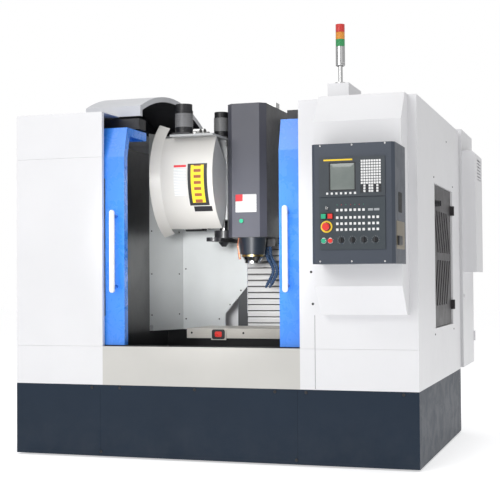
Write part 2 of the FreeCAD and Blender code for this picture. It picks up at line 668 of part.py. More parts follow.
# ---- saddle and table ----
def saddle():
    """Cross slide: rides the Y guides, carries the table, with a sheet apron in front and behind."""
    body = box(SPINDLE_X - SADDLE_HALF, SPINDLE_X + SADDLE_HALF, SADDLE_FRONT, SADDLE_REAR,
               SADDLE_BOTTOM, TABLE_BOTTOM)
    half = SADDLE_CHANNEL / 2
    channel = box(SPINDLE_X - SADDLE_HALF - 1, SPINDLE_X + SADDLE_HALF + 1, TABLE_Y - half, TABLE_Y + half,
                  TABLE_BOTTOM - SCREW_DROP - 22, TABLE_BOTTOM + 1)
    nut = box(SPINDLE_X - 42, SPINDLE_X + 42, TABLE_Y - 45, TABLE_Y + 45, BED_TOP + 2, SADDLE_BOTTOM + 1)
    bore = rod((SPINDLE_X, SADDLE_FRONT - 1, BED_TOP + RAIL_HEIGHT / 2), (0, 1, 0), SCREW_R + SCREW_CLEAR,
               SADDLE_WIDTH + 2)
    pockets = [box(SPINDLE_X + a, SPINDLE_X + b, SADDLE_FRONT + 40, SADDLE_REAR - 40, SADDLE_BOTTOM - 1,
                   SADDLE_BOTTOM + 44) for a, b in ((-125, -50), (50, 125))]
    body = body.cut(channel)
    for pocket in pockets:
        body = body.cut(pocket)
    front = cover_hood(SADDLE_FRONT - Y_TRAVEL_FRONT, SADDLE_FRONT, 2, BED_TOP + 8)
    rear = cover_hood(SADDLE_REAR, SADDLE_REAR + REAR_APRON_LENGTH, 2, BED_TOP + 8)
    return fuse([body, nut, front, rear]).cut(bore)


def y_cover_front():
    """Sliding hood between the fixed hood and the saddle's front apron."""
    rear = SADDLE_FRONT - COVER_LAP
    return cover_hood(rear - MIDDLE_COVER, rear, 1, BED_TOP + 4)


def y_cover_rear():
    """Sliding hood between the saddle's rear apron and the tunnel under the column."""
    front = SADDLE_REAR + REAR_COVER_LAP
    return cover_hood(front, front + REAR_MIDDLE_COVER, 1, BED_TOP + 4)


def table():
    """Slotted work table with end gutters, a block on its front edge and the cross screw's nut."""
    x0 = SPINDLE_X - TABLE_LENGTH / 2
    x1 = SPINDLE_X + TABLE_LENGTH / 2
    y0 = TABLE_Y - TABLE_WIDTH / 2
    y1 = TABLE_Y + TABLE_WIDTH / 2
    slab = box(x0, x1, y0, y1, TABLE_BOTTOM, TABLE_TOP)
    for index in (-1, 0, 1):
        y = TABLE_Y + index * SLOT_PITCH
        slab = slab.cut(box(x0 - 1, x1 + 1, y - SLOT_WIDTH / 2, y + SLOT_WIDTH / 2,
                            TABLE_TOP - SLOT_DEPTH + 12, TABLE_TOP + 1))
        slab = slab.cut(box(x0 - 1, x1 + 1, y - SLOT_HEAD / 2, y + SLOT_HEAD / 2,
                            TABLE_TOP - SLOT_DEPTH, TABLE_TOP - SLOT_DEPTH + 12))
    block = box(x0 + 165, x0 + 260, y0 - 14, y0, TABLE_BOTTOM - 10, TABLE_TOP)
    nut = box(SPINDLE_X - NUT_HALF, SPINDLE_X + NUT_HALF, TABLE_Y - 30, TABLE_Y + 30,
              TABLE_BOTTOM - SCREW_DROP - 20, TABLE_BOTTOM)
    bore = rod((SPINDLE_X - NUT_HALF - 1, TABLE_Y, TABLE_BOTTOM - SCREW_DROP), (1, 0, 0),
               SCREW_R + SCREW_CLEAR, 2 * NUT_HALF + 2)
    return fuse([slab, block, nut.cut(bore)])


# ---- head ----
def spindle_head():
    """Head casting with carriage, gear motor housing and the tapered nose round the spindle."""
    half = HEAD_HALF - HEAD_ROOM
    body = box(SPINDLE_X - half, SPINDLE_X + half, SPINDLE_Y - 104, CARRIAGE_FRONT, HEAD_BOTTOM + SHEET, 1650)
    carriage = box(SPINDLE_X - 178, SPINDLE_X + 178, CARRIAGE_FRONT, COLUMN_FRONT - RAIL_HEIGHT,
                   HEAD_BOTTOM + 11, 1800)
    motor = box(SPINDLE_X - 90, SPINDLE_X + 90, SPINDLE_Y - 90, SPINDLE_Y + 90, 1650, 1990)
    rear_box = box(SPINDLE_X - 60, SPINDLE_X + 60, SPINDLE_Y + 90, CARRIAGE_FRONT, 1650, 1790)
    nose = cone((SPINDLE_X, SPINDLE_Y, NOSE_LOW_Z), (0, 0, 1), NOSE_R_LOW, NOSE_R_TOP, HEAD_BOTTOM - NOSE_LOW_Z)
    neck = rod((SPINDLE_X, SPINDLE_Y, HEAD_BOTTOM - 1), (0, 0, 1), NOSE_R_TOP, 8)
    ring = rod((SPINDLE_X, SPINDLE_Y, RING_Z), (0, 0, 1), RING_R, NOSE_LOW_Z - RING_Z + 1)
    nut = box(SPINDLE_X - 40, SPINDLE_X + 40, COLUMN_FRONT - RAIL_HEIGHT - 1, COLUMN_FRONT - 2, 1420, 1520)
    solid = fuse([body, carriage, motor, rear_box, nose, neck, ring, nut])
    bore = rod((SPINDLE_X, SPINDLE_Y, RING_Z - 1), (0, 0, 1), SPINDLE_R + RUNNING, 1460 - RING_Z)
    screw_bore = rod((SPINDLE_X, COLUMN_FRONT - RAIL_HEIGHT / 2, 1419), (0, 0, 1), SCREW_R + SCREW_CLEAR, 102)
    return solid.cut(bore).cut(screw_bore)


def head_cover():
    """Sheet cover round the head, open behind, with its two front edges cut at 45 degrees."""
    outer = head_outline(0, HEAD_BOTTOM, HEAD_TOP)
    inner = head_outline(SHEET, HEAD_BOTTOM + SHEET, HEAD_TOP - SHEET)
    hole = rod((SPINDLE_X, SPINDLE_Y, HEAD_BOTTOM - 1), (0, 0, 1), NOSE_R_TOP + 2, SHEET + 2)
    button = rod((UNCLAMP[0], HEAD_FRONT - 1, UNCLAMP[1]), (0, 1, 0), 9 + BUTTON_CLEAR, SHEET + 2)
    return outer.cut(inner).cut(hole).cut(button)


def head_outline(offset, z0, z1):
    """Plan of the head cover, moved inwards by offset; the rear stays open for the inner one."""
    left = SPINDLE_X - HEAD_HALF + offset
    right = SPINDLE_X + HEAD_HALF - offset
    front = HEAD_FRONT + offset
    rear = HEAD_REAR + (1 if offset else 0)
    cut = HEAD_CHAMFER - offset * 0.41
    return prism_z([(left + cut, front), (right - cut, front), (right, front + cut), (right, rear),
                    (left, rear), (left, front + cut)], z0, z1)


def spindle():
    """Spindle with a 7:24 taper bore, two drive keys and the drawbar end above."""
    bar = rod((SPINDLE_X, SPINDLE_Y, SPINDLE_NOSE_Z), (0, 0, 1), SPINDLE_R, 1440 - SPINDLE_NOSE_Z)
    flange = cone((SPINDLE_X, SPINDLE_Y, SPINDLE_NOSE_Z + 14), (0, 0, 1), SPINDLE_R, RING_R - 4,
                  RING_Z - SPINDLE_NOSE_Z - 15)
    small = TAPER_R - TAPER_DEPTH * TAPER_RATIO / 2
    taper = cone((SPINDLE_X, SPINDLE_Y, SPINDLE_NOSE_Z), (0, 0, 1), TAPER_R, small, TAPER_DEPTH)
    solid = fuse([bar, flange]).cut(taper)
    keys = [box(SPINDLE_X - 8, SPINDLE_X + 8, SPINDLE_Y + a, SPINDLE_Y + b, SPINDLE_NOSE_Z - 7, SPINDLE_NOSE_Z + 2)
            for a, b in ((-42, -26), (26, 42))]
    return fuse([solid] + keys)


def hose_points(shift):
    """Places that one segmented coolant hose passes, moved aside by shift."""
    return [V(72 + shift, 925, 1234), V(80 + shift, 920, 1168), V(126 + shift, 900, 1078), V(82 + shift, 872, 970)]


def coolant_fittings():
    """Manifold under the head with two self-holding segmented hoses."""
    manifold = box(56, 138, 893, 957, 1232, HEAD_BOTTOM)
    pieces = [manifold]
    for shift in (0, 26):
        points = hose_points(shift)
        for a, b in zip(points, points[1:]):
            run = b - a
            pieces.append(Part.makeCylinder(9, run.Length, a, run))
            pieces.append(Part.makeSphere(9.5, b))
    return fuse(pieces)


# ---- doors ----
def door_profile(thick):
    """(y, z) outline of a door: upright, leaning top and roof part, one thickness all along."""
    y = DOOR_FRONT
    lean_y = y + DOOR_LEAN
    turn = thick * 0.14
    return [(y, DOOR_BOTTOM), (y, DOOR_FOLD_Z), (lean_y, DOOR_TOP), (DOOR_ROOF_REAR, DOOR_TOP),
            (DOOR_ROOF_REAR, DOOR_TOP - thick), (lean_y + thick * 0.74, DOOR_TOP - thick),
            (y + thick, DOOR_FOLD_Z - turn), (y + thick, DOOR_BOTTOM)]


def skin_cut(thick):
    """What is cut from the door's outline to leave a sheet with folded edges."""
    y = DOOR_FRONT + SHEET
    lean_y = DOOR_FRONT + DOOR_LEAN
    top = DOOR_TOP - SHEET
    return [(y, DOOR_BOTTOM + SHEET), (y, DOOR_FOLD_Z - 0.4), (lean_y + 1.8, top), (DOOR_ROOF_REAR - SHEET, top),
            (DOOR_ROOF_REAR - SHEET, DOOR_TOP - thick - 1), (lean_y + thick * 0.74, DOOR_TOP - thick - 1),
            (DOOR_FRONT + thick + 1, DOOR_FOLD_Z - thick * 0.14), (DOOR_FRONT + thick + 1, DOOR_BOTTOM + SHEET)]


def door(lead, side):
    """A door whose closing edge is at lead; side +1 closes to the right and -1 to the left."""
    def span(a, b):
        xs = (lead - side * a, lead - side * b)
        return min(xs), max(xs)
    x0, x1 = span(0, DOOR_WIDTH)
    s0, s1 = span(0, STILE_WIDTH)
    w0, w1 = span(STILE_WIDTH + WINDOW_MARGIN / 2, DOOR_WIDTH - WINDOW_MARGIN)
    sheet = prism_x(door_profile(DOOR_THICK), x0, x1)
    sheet = sheet.cut(prism_x(skin_cut(DOOR_THICK), x0 + SHEET, x1 - SHEET))
    stile = prism_x(door_profile(STILE_DEPTH), s0, s1)
    stile = stile.cut(prism_x(skin_cut(STILE_DEPTH), s0 + SHEET, s1 - SHEET))
    window = box(w0, w1, DOOR_FRONT - 1, DOOR_FRONT + SHEET + 1, WINDOW_BOTTOM, WINDOW_TOP)
    h0, h1 = span(DOOR_WIDTH - HANGER_LENGTH, DOOR_WIDTH - 12)
    hanger = box(h0, h1, RAIL_BEAM_Y[0] + 25, RAIL_BEAM_Y[1] - 25, DOOR_TOP - 1, RAIL_BEAM_Z[0] - HANGER_GAP)
    return fuse([sheet, stile, hanger]).cut(window)


def door_window(lead, side):
    """Clear pane behind the door's sheet, lapping its opening all round."""
    a = lead - side * (STILE_WIDTH + WINDOW_MARGIN / 2 - 12)
    b = lead - side * (DOOR_WIDTH - WINDOW_MARGIN + 12)
    return box(min(a, b), max(a, b), DOOR_FRONT + SHEET, DOOR_FRONT + SHEET + GLASS,
               WINDOW_BOTTOM - 12, WINDOW_TOP + 12)


def door_handle(lead, side):
    """Upright bar handle on two standoffs."""
    x = lead - side * STILE_WIDTH / 2
    z0 = HANDLE_MID_Z - HANDLE_LENGTH / 2
    bar = rod((x, HANDLE_Y, z0 + HANDLE_R), (0, 0, 1), HANDLE_R, HANDLE_LENGTH - 2 * HANDLE_R)
    ends = [Part.makeSphere(HANDLE_R, V(x, HANDLE_Y, z)) for z in
            (z0 + HANDLE_R, z0 + HANDLE_LENGTH - HANDLE_R)]
    legs = [rod((x, HANDLE_Y, z), (0, 1, 0), STANDOFF_R, DOOR_FRONT - HANDLE_Y) for z in
            (z0 + 36, z0 + HANDLE_LENGTH - 36)]
    return fuse([bar] + ends + legs)


# ---- console, pendant and controls ----
def operator_console():
    """White sheet box on the right front panel, with a leaning top, a chin and a notch for the pendant."""
    points = [(0, ENCLOSURE_TOP), (CONSOLE_TOP_FRONT, ENCLOSURE_TOP), (CONSOLE_FRONT, CONSOLE_FOREHEAD_Z),
              (CONSOLE_FRONT, CONSOLE_CHIN_Z), (CONSOLE_CHIN_FRONT, CONSOLE_BOTTOM), (0, CONSOLE_BOTTOM)]
    outer = prism_x(points, CONSOLE_LEFT, CONSOLE_RIGHT)
    corners = [V(CONSOLE_LEFT + SHEET, y, z) for y, z in points]
    face = Part.Face(Part.makePolygon(corners + corners[:1])).makeOffset2D(-SHEET)
    inner = face.extrude(V(CONSOLE_RIGHT - CONSOLE_LEFT - 2 * SHEET, 0, 0))
    back = box(CONSOLE_LEFT + SHEET, CONSOLE_RIGHT - SHEET, -2 * SHEET, 1, CONSOLE_BOTTOM + SHEET,
               ENCLOSURE_TOP - SHEET)
    notch = box(PENDANT_LEFT, PENDANT_RIGHT + 1, PENDANT_FRONT - 1, PENDANT_REAR, PENDANT_BOTTOM, PENDANT_TOP)
    return outer.cut(inner).cut(back).cut(notch)


def pendant_outline(offset, y1):
    """Plan of the pendant, moved inwards by offset, back to y1."""
    left = PENDANT_LEFT + offset
    right = PENDANT_RIGHT - offset
    front = PENDANT_FRONT + offset
    cut = PENDANT_CHAMFER - 0.41 * offset
    return [(left + cut, front), (right - cut, front), (right, front + cut), (right, y1), (left, y1),
            (left, front + cut)]


def pendant_housing():
    """Dark sheet housing with openings for the display unit and the key panel."""
    outer = prism_z(pendant_outline(0, PENDANT_REAR), PENDANT_BOTTOM, PENDANT_TOP)
    inner = prism_z(pendant_outline(SHEET, PENDANT_REAR - SHEET), PENDANT_BOTTOM + SHEET, PENDANT_TOP - SHEET)
    solid = outer.cut(inner)
    for z0, z1 in ((DISPLAY_BOTTOM, DISPLAY_TOP), (KEYS_BOTTOM, KEYS_TOP)):
        solid = solid.cut(box(UNIT_LEFT + 11, UNIT_RIGHT - 11, PENDANT_FRONT - 1, PENDANT_FRONT + SHEET + 1,
                              z0 + 11, z1 - 11))
    return solid


def display_unit():
    """Screen and keypad module: a frame on the housing with its body behind."""
    front = PENDANT_FRONT - UNIT_PROUD
    plate = box(UNIT_LEFT, UNIT_RIGHT, front, PENDANT_FRONT, DISPLAY_BOTTOM, DISPLAY_TOP)
    body = box(UNIT_LEFT + 12, UNIT_RIGHT - 12, PENDANT_FRONT - 0.1, PENDANT_FRONT + UNIT_DEPTH,
               DISPLAY_BOTTOM + 12, DISPLAY_TOP - 12)
    screen = box(820, 958, front - 1, front + 4, 1471, 1616)
    keypad = box(982, 1090, front - 1, front + 2, 1458, 1626)
    soft = [box(x - 5, x + 5, front - 2, front + 1, 1453, 1463) for x in (811 + 24 * i for i in range(7))]
    return fuse([plate, body] + soft).cut(screen).cut(keypad)


def operator_panel():
    """Key panel: membrane keys raised on its face, with holes for the buttons, the key and the knobs."""
    front = PENDANT_FRONT - UNIT_PROUD
    plate = box(UNIT_LEFT, UNIT_RIGHT, front, PENDANT_FRONT, KEYS_BOTTOM, KEYS_TOP)
    body = box(UNIT_LEFT + 12, UNIT_RIGHT - 12, PENDANT_FRONT - 0.1, PENDANT_FRONT + UNIT_DEPTH,
               KEYS_BOTTOM + 12, KEYS_TOP - 12)
    half = KEY_SIDE / 2
    keys = []
    for row, z in enumerate(KEY_ROWS):
        for column, x in enumerate(KEY_COLUMNS):
            if row == 0 and column > 6:
                continue
            keys.append(box(x - half, x + half, front - 1.5, front + 1, z - half, z + half))
    readout = box(KEY_COLUMNS[7] - 8, KEY_COLUMNS[9] + 10, front - 1, front + 1.5, KEY_ROWS[0] - 9, KEY_ROWS[0] + 9)
    ring_x, ring_z = ESTOP
    ring = rod((ring_x, front - 2, ring_z), (0, 1, 0), 29, 3)
    solid = fuse([plate, body, ring] + keys).cut(readout)
    for x, z, r in button_holes():
        solid = solid.cut(rod((x, front - 3, z), (0, 1, 0), r + BUTTON_CLEAR, 60))
    return solid


def button_holes():
    """(x, z, shaft radius) of each control on the key panel."""
    holes = [(x, KNOB_Z, 4.0) for x in KNOB_X]
    holes += [(x, SQUARE_BUTTON_Z, 6.0) for x in (LEFT_BUTTON_X, RIGHT_BUTTON_X)]
    holes += [(x, ROUND_BUTTON_Z, 6.0) for x in (LEFT_BUTTON_X, RIGHT_BUTTON_X)]
    holes += [(KEY_SWITCH[0], KEY_SWITCH[1], 7.0), (ESTOP[0], ESTOP[1], 9.0)]
    return holes


def push_button(x, z, square):
    """Push button with 4 mm of travel: a cap in front of the panel and a stem through it."""
    face = PENDANT_FRONT - UNIT_PROUD
    stem = rod((x, face - 6, z), (0, 1, 0), 6, 30)
    if square:
        cap = box(x - 12, x + 12, face - 12, face - 5, z - 12, z + 12)
    else:
        cap = rod((x, face - 12, z), (0, 1, 0), 12, 7)
    return fuse([stem, cap])


def estop_button():
    """Red mushroom head with 6 mm of travel."""
    x, z = ESTOP
    face = PENDANT_FRONT - UNIT_PROUD
    stem = rod((x, face - 12, z), (0, 1, 0), 9, 40)
    head = cone((x, face - 9, z), (0, -1, 0), 17, 20, 12)
    crown = cone((x, face - 21, z), (0, -1, 0), 20, 14, 6)
    return fuse([stem, head, crown])


def knob(x, z):
    """Rotary selector: round skirt, raised grip with a pointer, shaft through the panel."""
    face = PENDANT_FRONT - UNIT_PROUD
    shaft = rod((x, face - 4, z), (0, 1, 0), 4, 34)
    skirt = cone((x, face - 0.3, z), (0, -1, 0), 13, 11, 8)
    grip = box(x - 3, x + 3, face - 20, face - 7, z - 11, z + 13)
    return fuse([shaft, skirt, grip])


def key_switch():
    """Key lock's turning core with its key."""
    x, z = KEY_SWITCH
    face = PENDANT_FRONT - UNIT_PROUD
    core = rod((x, face - 5, z), (0, 1, 0), 7, 35)
    bow = box(x - 1.2, x + 1.2, face - 26, face - 4, z - 8, z + 8)
    return fuse([core, bow])


def unclamp_button():
    """Tool release button on the head's front."""
    x, z = UNCLAMP
    stem = rod((x, HEAD_FRONT - 7, z), (0, 1, 0), 9, 24)
    cap = rod((x, HEAD_FRONT - 12, z), (0, 1, 0), 13, 7)
    return fuse([stem, cap])


# ---- tower light ----
def tower_light_box():
    """White sheet box on the roof that carries the tower light."""
    outer = box(TOWER_X - TOWER_BOX_HALF, TOWER_X + TOWER_BOX_HALF, TOWER_BOX_FRONT, TOWER_BOX_REAR,
                ENCLOSURE_TOP, TOWER_BOX_TOP)
    inner = box(TOWER_X - TOWER_BOX_HALF + SHEET, TOWER_X + TOWER_BOX_HALF - SHEET, TOWER_BOX_FRONT + SHEET,
                TOWER_BOX_REAR - SHEET, ENCLOSURE_TOP - 1, TOWER_BOX_TOP - SHEET)
    return outer.cut(inner)


def tower_light_mast():
    """Foot, pole, dark ring and silver body."""
    foot = rod((TOWER_X, TOWER_Y, TOWER_BOX_TOP), (0, 0, 1), 32, 10)
    pole = rod((TOWER_X, TOWER_Y, TOWER_BOX_TOP), (0, 0, 1), POLE_R, TOWER_RING_Z - TOWER_BOX_TOP + 2)
    ring = cone((TOWER_X, TOWER_Y, TOWER_RING_Z), (0, 0, 1), 20, LENS_R, TOWER_BODY_Z - TOWER_RING_Z)
    body = rod((TOWER_X, TOWER_Y, TOWER_BODY_Z), (0, 0, 1), LENS_R, GREEN_Z - TOWER_BODY_Z)
    return fuse([foot, pole, ring, body])


def tower_lenses():
    """Green, amber and red lenses in a stack, the top one closed by a low dome."""
    green = rod((TOWER_X, TOWER_Y, GREEN_Z), (0, 0, 1), LENS_R, AMBER_Z - GREEN_Z)
    amber = rod((TOWER_X, TOWER_Y, AMBER_Z), (0, 0, 1), LENS_R, RED_Z - AMBER_Z)
    red = rod((TOWER_X, TOWER_Y, RED_Z), (0, 0, 1), LENS_R, TOWER_TOP_Z - 6 - RED_Z)
    cap = cone((TOWER_X, TOWER_Y, TOWER_TOP_Z - 6), (0, 0, 1), LENS_R, LENS_R - 8, 6)
    return group([green, amber, fuse([red, cap])])


# ---- tool changer ----
def sector(radius, low, high, x0, x1):
    """A wedge of a disc on the magazine's axis, between two angles above the forward direction."""
    start = V(x0, MAG_Y, MAG_Z)
    solid = Part.makeCylinder(radius, x1 - x0, start, V(1, 0, 0))
    reach = 2 * radius
    steps = 8
    outline = [(MAG_Y, MAG_Z)]
    for index in range(steps + 1):
        angle = radians(low + (high - low) * index / steps)
        outline.append((MAG_Y - reach * cos(angle), MAG_Z + reach * sin(angle)))
    return solid.common(prism_x(outline, x0, x1))


def magazine_cover():
    """Curved guard in front of the magazine with a flared lip at its open end."""
    x0, x1 = MAG_COVER_X
    shell = sector(MAG_COVER_R, MAG_COVER_BOTTOM, MAG_COVER_TOP, x0, x1)
    shell = shell.cut(rod((x0 - 1, MAG_Y, MAG_Z), (1, 0, 0), MAG_COVER_R - COVER_SHEET, x1 - x0 + 2))
    axis = (1, 0, 0)
    start = (LIP_X, MAG_Y, MAG_Z)
    flare = cone(start, axis, LIP_R, MAG_COVER_R, x0 - LIP_X)
    flare = flare.cut(cone(start, axis, LIP_R - COVER_SHEET, MAG_COVER_R - COVER_SHEET, x0 - LIP_X))
    wedge = sector(LIP_R + 10, LIP_BOTTOM, LIP_TOP, LIP_X, x0)
    return fuse([shell, flare.common(wedge)])


def changer_gearbox():
    """Cam gearbox with its mounting arm to the column, motor plate and dark end plate."""
    gx0, gx1 = GEARBOX_X
    gy0, gy1 = GEARBOX_Y
    gz0, gz1 = GEARBOX_Z
    case = box(gx0, gx1, gy0, gy1, gz0, gz1)
    column_left = SPINDLE_X - COLUMN_HALF
    web = box(gx0, column_left, gy1 - 50, COLUMN_FRONT + 240, 1500, 1790)
    riser = box(gx0 + 20, gx1 - 10, gy0 + 20, gy1 - 40, gz1, MOTOR_PLATE_Z)
    plate_z = MOTOR_PLATE_Z + MOTOR_PLATE_THICK
    plate = box(gx0, gx1, MAG_MOTOR[1] - 65, gy1 - 40, MOTOR_PLATE_Z, plate_z)
    shelf = box(MAG_MOTOR[0] - 70, gx0 + 1, MAG_MOTOR[1] - 65, MAG_MOTOR[1] + 65, MOTOR_PLATE_Z, plate_z)
    end_x = MAG_COVER_X[1] - 6
    end = sector(MAG_COVER_R - COVER_SHEET, MAG_COVER_BOTTOM, MAG_COVER_TOP, end_x, end_x + 4)
    shaft_bore = rod((ARM_X, MAG_Y, gz0 - 1), (0, 0, 1), SHAFT_R + RUNNING, gz1 - gz0 - 60)
    disc_bore = rod((gx0 - 1, MAG_Y, MAG_Z), (1, 0, 0), 22 + RUNNING, 48)
    solid = fuse([case, web, riser, plate, shelf, end])
    return solid.cut(shaft_bore).cut(disc_bore)


def servo(x, y, z, body_r, height):
    """Upright servo motor: flange, ribbed body and round cap."""
    flange = box(x - body_r - 4, x + body_r + 4, y - body_r - 4, y + body_r + 4, z, z + 12)
    body = rod((x, y, z + 12), (0, 0, 1), body_r, height * 0.55)
    neck = rod((x, y, z + 12 + height * 0.55), (0, 0, 1), body_r * 0.86, height * 0.12)
    cap = rod((x, y, z + 12 + height * 0.67), (0, 0, 1), body_r * 0.96, height * 0.33 - 12)
    return fuse([flange, body, neck, cap])


def changer_motors():
    """Magazine motor above the guard and arm motor above the gearbox."""
    z = MOTOR_PLATE_Z + MOTOR_PLATE_THICK
    return group([servo(MAG_MOTOR[0], MAG_MOTOR[1], z, 54, 190), servo(ARM_MOTOR[0], ARM_MOTOR[1], z, 46, 170)])


def pot_body(angle):
    """One tool pot lying along X on the ring, at an angle round the magazine's axis."""
    y = MAG_Y + POT_RING_R * sin(angle)
    z = MAG_Z - POT_RING_R * cos(angle)
    pot = rod((POT_LEFT, y, z), (1, 0, 0), POT_R, POT_RIGHT - POT_LEFT)
    return pot.cut(cone((POT_LEFT - 0.1, y, z), (1, 0, 0), TAPER_R + 0.2, TAPER_R - 9, 66))


def magazine_disc():
    """Disc with every pot but the one at the change place, its hub and stub shaft."""
    x0, x1 = DISC_X
    disc = rod((x0, MAG_Y, MAG_Z), (1, 0, 0), DISC_R, x1 - x0)
    hub = rod((x1 - 1, MAG_Y, MAG_Z), (1, 0, 0), 60, GEARBOX_X[0] - x1 + 1 - 0.3)
    stub = rod((x1, MAG_Y, MAG_Z), (1, 0, 0), 22, GEARBOX_X[0] + 44 - x1)
    pieces = [disc, hub, stub]
    for index in range(1, POT_COUNT):
        angle = 2 * pi * index / POT_COUNT
        pieces.append(pot_body(angle))
        lug = box(POT_RIGHT - 24, x1, MAG_Y - 16, MAG_Y + 16, MAG_Z - POT_RING_R - 8, MAG_Z - DISC_R + 30)
        lug.rotate(V(0, MAG_Y, MAG_Z), V(1, 0, 0), degrees(angle))
        pieces.append(lug)
    ear_r = 9
    for side in (-1, 1):
        y = MAG_Y + side * (POT_R + 5)
        ear = box(POT_HINGE_X - 9, x0 + 1, y - 4, y + 4, POT_Z - 9, POT_Z + 9)
        riser = box(x0 - 20, x0 + 1, y - 4, y + 4, POT_Z - 9, MAG_Z - DISC_R + 30)
        pieces += [ear, riser]
    solid = fuse(pieces)
    pin_bore = rod((POT_HINGE_X, MAG_Y - 60, POT_Z), (0, 1, 0), ear_r - 4 + RUNNING, 120)
    return solid.cut(pin_bore)


def change_pot():
    """The pot at the change place, on its own cross pins."""
    pins = rod((POT_HINGE_X, MAG_Y - POT_R - 9, POT_Z), (0, 1, 0), 5, 2 * POT_R + 18)
    taper = cone((POT_LEFT - 0.1, MAG_Y, POT_Z), (1, 0, 0), TAPER_R + 0.2, TAPER_R - 9, 66)
    return fuse([pot_body(0), pins]).cut(taper)


def arm_shaft():
    """Shaft that lifts and lowers the change arm out of the gearbox."""
    top = GEARBOX_Z[0] + ARM_STROKE + SHAFT_GUIDE
    return rod((ARM_X, SPINDLE_Y, ARM_Z[1] + 50), (0, 0, 1), SHAFT_R, top - ARM_Z[1] - 50)


def changer_arm():
    """Double arm with two open grippers, parked along Y, under a round hub."""
    z0, z1 = ARM_Z
    hub = rod((ARM_X, SPINDLE_Y, z1), (0, 0, 1), 60, 50)
    nut = cone((ARM_X, SPINDLE_Y, z0 - 28), (0, 0, 1), 14, 34, 28)
    bar = box(ARM_X - 26, ARM_X + 26, SPINDLE_Y - ARM_REACH, SPINDLE_Y + ARM_REACH, z0, z1)
    pieces = [hub, nut, bar]
    for side in (-1, 1):
        pieces.append(rod((ARM_X, SPINDLE_Y + side * ARM_REACH, z0), (0, 0, 1), 46, z1 - z0))
    solid = fuse(pieces)
    for side in (-1, 1):
        y = SPINDLE_Y + side * ARM_REACH
        mouth = box(ARM_X, ARM_X + 60, y - 30, y + 30, z0 - 1, z1 + 1) if side < 0 else \
            box(ARM_X - 60, ARM_X, y - 30, y + 30, z0 - 1, z1 + 1)
        solid = solid.cut(mouth).cut(rod((ARM_X, y, z0 - 1), (0, 0, 1), 31.5, z1 - z0 + 2))
    return solid


# ---- side door and cabinet ----
def side_door():
    """Recessed access door with pressed chevron ribs and hinge knuckles."""
    y0, y1 = SIDE_DOOR_Y
    z0, z1 = SIDE_DOOR_Z
    out = HALF_WIDTH - SIDE_DOOR_RECESS
    inside = out - SIDE_DOOR_THICK
    solid = box(inside, out, y0, y1, z0, z1)
    solid = solid.cut(box(inside - 1, out - SHEET, y0 + SHEET, y1 - SHEET, z0 + SHEET, z1 - SHEET))
    ky, kz = SIDE_KNOB
    solid = fuse([solid] + chevron_ribs(out))
    leaf = [box(out - 1, HALF_WIDTH + 4, y1 - 3, y1, z, z + 60) for z in (z0 + 90, z1 - 150)]
    strap = [box(HALF_WIDTH + 1.5, HALF_WIDTH + 4, y1 - 3, y1 + 12, z, z + 60) for z in (z0 + 90, z1 - 150)]
    knuckle = [rod((HALF_WIDTH + HINGE_R + 1, y1 + 12, z), (0, 0, 1), HINGE_R - 1, 60)
               for z in (z0 + 90, z1 - 150)]
    solid = fuse([solid] + leaf + strap + knuckle)
    return solid.cut(rod((inside - 1, ky, kz), (1, 0, 0), 6 + BUTTON_CLEAR, 60))


def chevron_ribs(out):
    """Raised ribs that meet in a row of arrow shapes half way up the door."""
    y0, y1 = SIDE_DOOR_Y
    z0, z1 = SIDE_DOOR_Z
    middle = (z0 + z1) / 2
    ribs = []
    for index in range(6):
        tip_y = y0 + 190 + index * 95
        for side in (-1, 1):
            reach = 300.0
            rib = Part.makeBox(5, reach, 14, V(out - 1, -reach, -7))
            rib.rotate(V(0, 0, 0), V(1, 0, 0), -side * 62)
            rib.translate(V(0, tip_y, middle + side * 26))
            ribs.append(rib)
    frame = box(out - 2, out + 6, y0 + 60, y1 - 40, z0 + 60, z1 - 150)
    return [rib.common(frame) for rib in ribs]


def side_door_knob():
    """Turning knob of the side door's latch with its tongue."""
    y, z = SIDE_KNOB
    out = HALF_WIDTH - SIDE_DOOR_RECESS
    shaft = rod((out - SIDE_DOOR_THICK - 12, y, z), (1, 0, 0), 6, SIDE_DOOR_THICK + 20)
    grip = cone((out + 0.3, y, z), (1, 0, 0), 20, 17, 26)
    wing = box(out + 20, out + 34, y - 5, y + 5, z - 16, z + 16)
    return fuse([shaft, grip, wing])


def electrical_cabinet():
    """Plates of the cabinet behind the enclosure, open to the right, its neck and its two carrying beams."""
    x0 = CABINET_LEFT
    x1 = CABINET_RIGHT
    y0 = CABINET_FRONT
    y1 = CABINET_REAR
    z0 = CABINET_BOTTOM
    z1 = CABINET_TOP
    shell = [box(x0, x1, y0, y1, z0, z0 + SHEET),
             box(x0, x1, y0, y1, z1 - SHEET, z1),
             box(x0, x0 + SHEET, y0, y1, z0 + SHEET, z1 - SHEET),
             box(x0 + SHEET, x1, y0, y0 + SHEET, z0 + SHEET, z1 - SHEET),
             box(x0 + SHEET, x1, y1 - SHEET, y1, z0 + SHEET, z1 - SHEET)]
    n0 = x0 + NECK_INSET_X
    n1 = HALF_WIDTH - NECK_INSET_RIGHT
    low = z0 + NECK_INSET_Z
    high = z1 - NECK_INSET_Z
    neck = [box(n0, n1, WALL_DEPTH, y0, low, low + SHEET),
            box(n0, n1, WALL_DEPTH, y0, high - SHEET, high),
            box(n0, n0 + SHEET, WALL_DEPTH, y0, low + SHEET, high - SHEET),
            box(n1 - SHEET, n1, WALL_DEPTH, y0, low + SHEET, high - SHEET)]
    column_right = SPINDLE_X + COLUMN_HALF
    beams = [box(column_right, x0, y0 + 10, y0 + 70, z, z + 80) for z in CABINET_BEAM_Z]
    plate = box(x0 + SHEET, x1 - 120, y1 - 40, y1 - 37, z0 + SHEET, z1 - SHEET)
    return group(shell + neck + beams + [plate])


